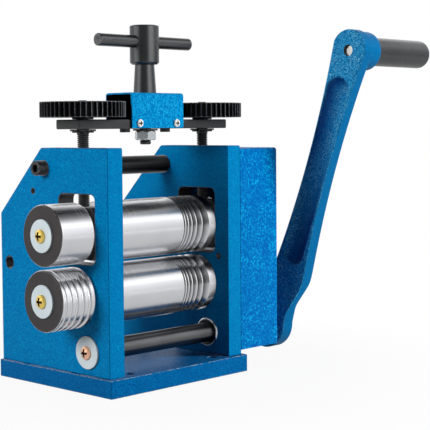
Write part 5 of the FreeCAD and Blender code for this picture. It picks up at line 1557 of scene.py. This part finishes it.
    def cover_sheet(self) -> None:
        """The cover: an upside-down U of sheet, carried along X, its inner side painted black:
        painted shade.
        """
        half, low, top = self.cover
        outer, inner = self.cover_outer, self.cover_outer - self.sheet
        roof, bend, soft = top - self.sheet, self.bend, 0.3
        section = softened(
            [
                (-outer, low, soft), (-inner, low, soft), (-inner, roof, bend - self.sheet),
                (inner, roof, bend - self.sheet), (inner, low, soft), (outer, low, soft),
                (outer, top, bend), (-outer, top, bend),
            ]
        )
        inside = (np.abs(section[:, 0]) < inner + 0.01) & (section[:, 1] < roof + 0.01)
        drawn = inset(section, soft)
        rows = ((drawn, -half), (section, soft - half), (section, half - soft), (drawn, half))
        skin = Skin("gear_cover_sheet")
        skin.stack(np.stack([lifted(*row) for row in rows]), Way.RIGHT.at(0.0, AXIS_Y))
        # The inner side takes the black steel finish: painted shade
        tint = np.tile((inside & np.roll(inside, -1)).astype(int), len(rows) - 1)
        skin.paint[: len(tint)] = tint.tolist()
        cover = skin.raw(COVER_BLUE, BLACK_STEEL)
        drilled(cover, self.cover_hole, (top - 6.0, top + 2.0), Way.UP.at(0.0, AXIS_Y))
        finished(cover, COVER_BLUE.slot, "bridge", "gear_cover")

    def cover_screws(self) -> None:
        """Four domed screws in the cover's skirts."""
        skin = Skin("cover_screw_heads")
        reach, height, thread = self.cover_screw
        for x in (-reach, reach):
            for way, sign in ((Way.FRONT, -1), (Way.BACK, 1)):
                cross_screw(skin, thread, way.at(x, AXIS_Y + sign * self.cover_outer, height))
        skin.piece([NICKEL_SCREW, RECESS_SHADE], "bridge", "cover_screws")

    def handle(self) -> None:
        """The T-handle: spindle with hub and tapering neck, and the bar through the hub."""
        foot, top = self.hub_z
        hub, neck, root, shank, boss = 10.0, 6.6, self.thread / 2, 5.0, 7.8
        profile = [
            (self.stem_foot, root - 1.0), (self.stem_foot + 1.0, root), (self.bar_top + 0.1, root),
            (self.bar_top + 0.15, shank), (self.gear_z[1], shank), (self.gear_z[1] + 0.05, boss),
            (self.cover[2] + 0.3, boss), (foot - 1.55, neck + 0.05), (foot - 1.4, neck + 0.25),
            (foot - 1.35, hub - 1.5), (foot - 1.25, hub - 1.4), (foot - 0.1, hub - 0.1),
            (foot + 0.3, hub), (top - 1.0, hub), (top - 0.5, hub - 0.13),
            (top - 0.13, hub - 0.5), (top, hub - 1.0),
        ]
        stem = threaded(profile, self.pitch, self.stem_thread, 96)
        skin = Skin("t_handle_spindle").stack(stem, Way.UP.at(0.0, AXIS_Y))
        skin.piece(GUNMETAL, "t_handle", "t_spindle")
        half, radius, height = self.cross_bar
        ends = rod(-half, half, radius, 1.0, 5)
        edge = np.abs(ends[:, 0]) > half - 0.9
        skin = Skin("t_handle_cross_bar")
        skin.stack(turned(ends, 72), Way.RIGHT.at(0.0, AXIS_Y, height), worn=edge)
        skin.piece(GUNMETAL, "t_handle", "cross_bar")

    def nut(self) -> None:
        """The nut and the washer that hold the spindle under the bar."""
        skin = hex_nut(Skin("spindle_nut_body"), self.thread, Way.UP.at(0.0, AXIS_Y, self.nut_z))
        skin.piece(ZINC_BRIGHT, "t_handle", "spindle_nut")
        pose = Way.UP.at(0.0, AXIS_Y, self.washer_z)
        disc = washer(Skin("spindle_washer_disc"), self.thread, *self.plain_washer, pose)
        disc.piece(BLACK_STEEL, "t_handle", "spindle_washer")


@dataclass
class Crank:
    """The drive shaft, the cast arm that leans forward, and the free-turning grip."""

    shaft_radius: float = 6.9
    shaft_left: float = -62.2
    start: float = 109.95
    lean: float = 19.2
    reach: float = 211.0
    hub: float = 19.0
    head: float = 15.0
    step: float = 13.0
    thick: float = 11.0
    foot: Pair = (15.6, 33.0)
    neck_half: float = 13.0
    waist: float = 4.2
    pocket: Pair = (46.0, 191.0)
    pocket_deep: float = 4.4
    pocket_half: Pair = (9.6, 10.6)
    edge: float = 0.9
    grip_boss: Triple = (13.9, 18.0, 34.6)
    hub_boss: Triple = (13.0, 5.0, -7.55)
    bolt_washer: Triple = (8.4, 24.0, 2.0)
    bolt_thread: float = 8.0
    bolt_radius: float = 4.0
    grip_radius: float = 10.25
    grip: Pair = (144.85, 212.35)
    columns: int = 560
    finishes: tuple[Finish, ...] = (ARM_BLUE, EDGE_BLUE, BLACK_STEEL)

    def build(self) -> None:
        """Make the shaft, the arm and the grip."""
        shaft = rod(self.shaft_left, self.start + 10.7, self.shaft_radius, 0.5)
        skin = Skin("drive_shaft_body").stack(turned(shaft), Way.RIGHT.at(0.0, *DRIVE))
        skin.piece(BRIGHT_SHAFT, "crank", "drive_shaft")
        end_fastening("drive_shaft", self.shaft_left, *DRIVE, "crank", COPPER_ZINC)
        self.arm()
        self.bolt()
        self.grip_pieces()

    def pose(self, along: float = 0.0, out: float = 0.0, sign: int = 1) -> Pose:
        """The arm's own axes: across it, along it, and outwards.

        Args:
            along: How far up the arm the origin is.
            out: How far from the hub's inner face it is, along X.
            sign: -1 for a pose that points inwards.

        Returns:
            The pose.
        """
        sine, cosine = math.sin(math.radians(self.lean)), math.cos(math.radians(self.lean))
        origin = (self.start + out, DRIVE[0] - along * sine, DRIVE[1] + along * cosine)
        return Pose(origin, (0.0, sign * cosine, sign * sine), (0.0, -sine, cosine), (sign, 0.0, 0.0))

    def outline(self) -> Array:
        """The arm's face outline, (across, along), evenly spaced by length.

        Between the hub and the head the half width w(s) runs straight from foot to neck less a
        parabola that is 0.97 of the waist deep; the ends are circles about the hub and the head.

        Returns:
            The points, anticlockwise from the hub's lowest.
        """
        (foot_half, low), ankle, nape = self.foot, 6.5, 3.0
        s = np.linspace(0.0, 1.0, 400)
        side = foot_half + (self.neck_half - foot_half) * s - 4 * self.waist * s * (1 - s) * 0.97
        body = np.stack((side, low + (self.reach - self.head - low) * s), -1)
        foot = arc(self.hub, np.linspace(-np.pi / 2, math.asin(ankle / self.hub), 200))
        crown = arc(self.head, np.linspace(math.asin(nape / self.head), np.pi / 2, 160))
        crown[:, 1] += self.reach
        knee = np.linspace(0.0, 1.0, 60)[1:-1, None]
        blend = foot[-1] + (body[0] - foot[-1]) * knee
        neck = body[-1] + (crown[0] - body[-1]) * knee
        half = np.concatenate((foot, blend, body, neck, crown))
        half[0, 0] = half[-1, 0] = 0.0
        length = np.concatenate(([0.0], np.cumsum(np.linalg.norm(np.diff(half, axis=0), axis=1))))
        even = np.linspace(0.0, length[-1], self.columns // 2 + 1)
        right = np.stack([np.interp(even, length, half[:, n]) for n in (0, 1)], -1)
        return np.concatenate((right, right[-2:0:-1] * (-1.0, 1.0)))

    def inner_face(self, s: Array) -> Array:
        """X of the inner face: 0 on the hub, stepping out above it with rounded knees."""
        return self.step / 19.0 * (soft_ramp(s - 14.0, 2.5) - soft_ramp(s - 33.0, 4.0))

    def outer_face(self, s: Array) -> Array:
        """X of the outer face: the hub's thickness, then the step, less the head's taper."""
        knee = self.step / 16.5 * (soft_ramp(s - 19.5, 2.5) - soft_ramp(s - 36.0, 4.0))
        return self.thick + knee - 1.7 * np.clip((s - 42.0) / (self.reach - 42.0), 0.0, 1.0)

    def dish(self, a: Array, s: Array) -> tuple[Array, Array]:
        """The pocket in the inner face.

        It is a slot whose half width w(s) grows from foot to neck, with round ends.  A place at
        the share u of that half width off the slot's spine lies (1 - u^3)^0.75 deep, and it takes
        painted shade, most at the upper end, on the rear side of the upper half and on the front
        side of the lower half.

        Args:
            a: Places across the arm.
            s: Places along the arm.

        Returns:
            The depth and the share of painted shade, each from 0 to 1.
        """
        low, high = self.pocket
        small, large = self.pocket_half
        share = np.clip((s - low) / (high - low), 0.0, 1.0)
        width = small + (large - small) * share - 0.6 * 4 * share * (1 - share)
        off = np.hypot(a, s - np.clip(s, low + small, high - large))
        deep = np.clip(1.0 - (off / width) ** 3, 0.0, 1.0) ** 0.75
        top = np.clip((s - high + large) / large, 0.0, 1.0)
        sway = np.interp(s, (80.0, 150.0), (-0.5, 0.65))
        shade = np.clip(0.75 - 0.25 * share + sway * a / width + 0.8 * top * top, 0.0, 1.0)
        return deep, shade * smoothstep(0.0, 0.35, deep)

    def arm(self) -> None:
        """The cast arm, skinned from the middle of its inner face round to that of its outer one.

        Loop i is the face outline drawn towards the spine by a share u, which is 1 at the
        middle of each face and 0 at the side; near the side it follows a rounded edge.
        """
        outline = self.outline()
        rim = inset(outline, self.edge)
        spine = outline * (0.0, 1.0)
        spine[:, 1] = np.clip(spine[:, 1], 0.0, self.reach)
        quarter = np.linspace(0.0, np.pi / 2, 7)
        loops, shades = [], []
        for share in np.linspace(1.0, 0.0, 44)[:-1]:
            flat = rim * (1 - share) + spine * share
            deep, shade = self.dish(*flat.T)
            loops.append(lifted(flat, self.inner_face(flat[:, 1]) + self.pocket_deep * deep))
            shades.append(shade)
        for face, sign, bend in ((self.inner_face, 1, quarter), (self.outer_face, -1, quarter[::-1])):
            for turn in bend:
                flat = inset(outline, self.edge * (1 - math.sin(turn)))
                rise = sign * self.edge * (1 - math.cos(turn))
                loops.append(lifted(flat, face(flat[:, 1]) + rise))
        for share in np.linspace(0.0, 1.0, 16)[1:]:
            flat = rim * (1 - share) + spine * share
            loops.append(lifted(flat, self.outer_face(flat[:, 1])))
        # Painted shade in the pocket from dish(), and none on the other loops
        hollow = np.zeros((len(loops), self.columns))
        hollow[: len(shades)] = shades
        row, side = np.arange(len(loops) - 1), len(shades) + len(quarter) - 2
        paint = ((side <= row) & (row < side + 3)).astype(int)
        skin = Skin("crank_arm_casting")
        skin.stack(np.stack(loops), self.pose(), paint=paint, hollow=hollow)
        made = skin.raw(*self.finishes)
        joined(made, self.boss("grip_boss", self.reach, *self.grip_boss))
        joined(made, self.boss("hub_boss", 0.0, *self.hub_boss))
        drilled(made, self.bolt_radius, (5.0, 17.0), self.pose(self.reach), paint=2)
        finished(made, ARM_BLUE.slot, "crank", "crank_arm")

    def boss(self, name: str, along: float, radius: float, inner: float, outer: float) -> Object:
        """A round boss on the arm, with its far edge rounded.

        Args:
            name: Its name while it is apart.
            along: How far up the arm it stands.
            radius: Its radius.
            inner: Its root's distance from the hub's inner face.
            outer: Its end's distance from the hub's inner face.

        Returns:
            The boss as a solid of its own.
        """
        length = abs(outer - inner)
        fall = ((2.4, 0.0), (1.3, 0.2), (0.5, 0.7), (0.12, 1.4), (0.0, 2.2))
        edge = [(length - back, radius - drop) for back, drop in fall]
        profile = [(0.0, 0.0), (0.0, radius), *edge, (length, 0.0)]
        pose = self.pose(along, inner, 1 if outer > inner else -1)
        return Skin(name).stack(turned(profile), pose, paint=1).raw(*self.finishes)

    def bolt(self) -> None:
        """The bolt and washer that hold the crank on its shaft."""
        skin, face = Skin("crank_bolt_head"), self.start + self.thick
        washer(skin, *self.bolt_washer, Way.RIGHT.at(face, *DRIVE))
        socket_head(skin, self.bolt_thread, Way.RIGHT.at(face + self.bolt_washer[2], *DRIVE))
        skin.piece(BLACK_STEEL, "crank", "crank_bolt")

    def grip_pieces(self) -> None:
        """The grip, hollowed at its outer end for the head of its bolt."""
        axis = Way.RIGHT.at(0.0, *self.pose(self.reach).origin[1:])
        (start, end), radius, soft = self.grip, self.grip_radius, 4.5
        bore, well, deep = self.bolt_radius + 0.05, 6.5, 9.0
        q = np.linspace(0.0, np.pi / 2, 10)
        profile = [
            (start, bore), (start, radius - 0.6), (start + 0.2, radius - 0.18),
            (start + 0.6, radius),
            *zip(end - soft + soft * np.sin(q), radius - soft + soft * np.cos(q)),
            (end, well), (end - deep, well), (end - deep, bore),
        ]
        skin = Skin("grip_sleeve").stack(turned(profile), axis, ring=True)
        skin.piece(GRIP_BLACK, "grip", "grip")
        foot, seat, head = self.start + 15.9, end - deep + 0.15, well - 0.3
        shank = softened(
            [
                (foot, 0.0), (foot, self.bolt_radius, 0.6), (seat, self.bolt_radius),
                (seat, head), (seat + 5.0, head, 0.6), (seat + 5.0, 0.0),
            ],
            3,
        )
        skin = Skin("grip_bolt_body").stack(turned(shank, 64), axis)
        skin.piece(NICKEL_SCREW, "crank", "grip_bolt")


@dataclass
class PlainParts:
    """CAD nodes that stay as they are and only take a finish."""

    finishes: dict[Finish, tuple[str, ...]] = field(
        default_factory=lambda: {
            BOX_BLUE: ("gearbox_cover",),
            BLACK_STEEL: ("base_screws",),
            BLACK_GEAR: ("top_pinion",),
            BRONZE: ("lower_roller_bushes", "bearing_block_bushes", "crank_bush"),
            GEAR_STEEL: (
                "lift_springs", "lower_roller_keys", "upper_roller_keys", "drive_shaft_keys",
                "drive_gear", "drive_pinion", "lower_coupling_gear", "upper_coupling_gear",
                "lower_roller_clip", "upper_roller_clip",
            ),
        }
    )

    def build(self, nodes: dict[str, Object]) -> None:
        """Give each node its finish; mirror images leave the bronze bushes out.

        Args:
            nodes: The frame's objects by name.
        """
        for finish, names in self.finishes.items():
            for name in names:
                nodes[name].data.materials.clear()
                nodes[name].data.materials.append(finish.material())
                nodes[name].visible_glossy = finish is not BRONZE
                LOG.info("%s: %s", name, finish.name)


@dataclass
class Studio:
    """Pale floor, soft light and the camera."""

    place: Triple = (-0.58505, -0.6511, 0.1726)
    yaw: float = 45.917
    pitch: float = 3.171
    roll: float = -0.448
    lens: float = 104.6
    shift: Pair = (0.0131, -0.0423)
    target: Triple = (0.0, -0.02, 0.11)
    lamps: tuple[tuple[str, Triple, Pair, float], ...] = (
        ("side", (-0.95, 0.12, 0.44), (0.36, 0.36), 9.8),
        ("front", (0.85, -1.0, 0.45), (0.35, 0.5), 30.0),
        ("top", (-0.2, 0.3, 1.1), (0.6, 0.6), 4.0),
    )

    def build(self) -> None:
        """Set up the stage."""
        self.camera()
        self.floor()
        self.world()
        for lamp in self.lamps:
            self.lamp(*lamp)
        bpy.context.scene.view_settings.view_transform = "Standard"

    def camera(self) -> None:
        """A long lens, level to within four degrees, shifted to frame the mill."""
        yaw, pitch = math.radians(self.yaw), math.radians(self.pitch)
        level = math.cos(pitch)
        ahead = Vector((math.sin(yaw) * level, math.cos(yaw) * level, -math.sin(pitch)))
        data = bpy.data.cameras.new("camera")
        data.lens, data.sensor_width = self.lens, 36.0
        data.shift_x, data.shift_y = self.shift
        data.clip_start, data.clip_end = 0.05, 20.0
        camera = bpy.data.objects.new("camera", data)
        bpy.context.scene.collection.objects.link(camera)
        look = ahead.to_track_quat("-Z", "Y").to_matrix().to_4x4()
        tilt = Matrix.Rotation(math.radians(self.roll), 4, "Z")
        camera.matrix_world = Matrix.Translation(self.place) @ look @ tilt
        bpy.context.scene.camera = camera

    def floor(self) -> None:
        """A wide pale floor that the camera sees as nearly white, with the mill's shadow."""
        far, low = 3.0, -0.0002
        corners = [(-far, -far, low), (far, -far, low), (far, far, low), (-far, far, low)]
        mesh = bpy.data.meshes.new("floor")
        mesh.from_pydata(corners, [], [(0, 1, 2, 3)])
        floor = bpy.data.objects.new("floor", mesh)
        bpy.context.scene.collection.objects.link(floor)
        made = bpy.data.materials.new("pale_floor")
        web = Web.fresh(made)
        matt = web.add("BsdfDiffuse", {"Color": (0.36, 0.36, 0.36)}).outputs[0]
        glow = web.add("Emission", {"Color": (1.0, 1.0, 1.0), "Strength": 1.0}).outputs[0]
        reach = web.vector("LENGTH", web.add("TexCoord").outputs["Object"])
        path = web.add("LightPath").outputs
        seen = web.number("MULTIPLY", path["Is Camera Ray"], web.spread(reach, 0.11, 0.32, 0.93))
        seen = web.number("MAXIMUM", seen, web.number("MULTIPLY", path["Is Glossy Ray"], 0.62))
        both = web.add("MixShader", {0: seen, 1: matt, 2: glow})
        web.add("OutputMaterial", {"Surface": both.outputs[0]})
        mesh.materials.append(made)

    def world(self) -> None:
        """A dim even light; camera, mirror and glass rays see a pale studio.

        Mirror rays see a broad bright panel above the horizon and a dark ceiling above it.  The
        panel dims behind the camera, between two upright strips of light.
        """
        world = bpy.data.worlds.new("studio")
        bpy.context.scene.world = world
        web = Web.fresh(world)
        path = web.add("LightPath").outputs
        sky = web.add("TexCoord").outputs["Generated"]
        height = web.add("SeparateXYZ", {0: sky}).outputs["Z"]
        ramp = web.add("ValToRGB", {"Fac": web.number("MULTIPLY_ADD", height, 0.5, 0.5)})
        ramp.color_ramp.interpolation = "EASE"
        stops = (
            (-1.0, 0.34), (-0.3, 0.35), (-0.1, 0.36), (0.1, 0.4), (0.28, 0.56), (0.4, 0.86),
            (0.52, 0.9), (0.6, 0.52), (0.67, 0.18), (0.76, 0.03),
        )
        band = ramp.color_ramp.elements
        while len(band) < len(stops):
            band.new(0.5)
        for stop, (where, light) in zip(band, stops):
            stop.position = 0.5 + 0.5 * where
            stop.color = (light, light, light * 1.01, 1.0)
        dark = web.spread(web.vector("DOT_PRODUCT", sky, (-0.9, -0.43, 0.0)), 0.3, 0.85)
        power = web.number("MULTIPLY_ADD", dark, -1.6, 2.0)
        for way in ((0.2, -0.98, 0.0), (-0.94, 0.34, 0.0)):
            strip = web.spread(web.vector("DOT_PRODUCT", sky, way), 0.88, 0.98)
            power = web.number("MULTIPLY_ADD", strip, 3.5, power)
        lights = ((0.45, 0.55, 1.0), 0.05), (ramp.outputs["Color"], power), ((1.0, 1.0, 1.0), 1.0)
        even, mirror, white = (
            web.add("Background", {"Color": colour, "Strength": strength}).outputs[0]
            for colour, strength in lights
        )
        glossy = web.add("MixShader", {0: path["Is Glossy Ray"], 1: even, 2: mirror}).outputs[0]
        plain = web.number("MAXIMUM", path["Is Camera Ray"], path["Is Transmission Ray"])
        both = web.add("MixShader", {0: plain, 1: glossy, 2: white})
        web.add("OutputWorld", {"Surface": both.outputs[0]})

    def lamp(self, name: str, place: Triple, size: Pair, power: float) -> None:
        """A soft rectangular lamp that points at the middle of the mill.

        Args:
            name: What the lamp is for.
            place: Where it hangs, in metres.
            size: Its width and height, in metres.
            power: Its power in watts.
        """
        data = bpy.data.lights.new(name, "AREA")
        data.shape, data.size, data.size_y, data.energy = "RECTANGLE", *size, power
        lamp = bpy.data.objects.new(name, data)
        bpy.context.scene.collection.objects.link(lamp)
        lamp.location = place
        lamp.visible_glossy = False
        lamp.rotation_mode = "QUATERNION"
        aim = Vector(self.target) - Vector(place)
        lamp.rotation_quaternion = aim.to_track_quat("-Z", "Y")


def main() -> None:
    """Load the frame, build each sub-assembly over it, and set the stage."""
    logging.basicConfig(level=logging.INFO, format="%(name)s: %(message)s")
    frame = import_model()
    Studio().build()
    PlainParts().build(frame["nodes"])
    MillFrame().build()
    Rolls().build()
    Adjuster().build()
    Crank().build()


if __name__ == "__main__":
    main()
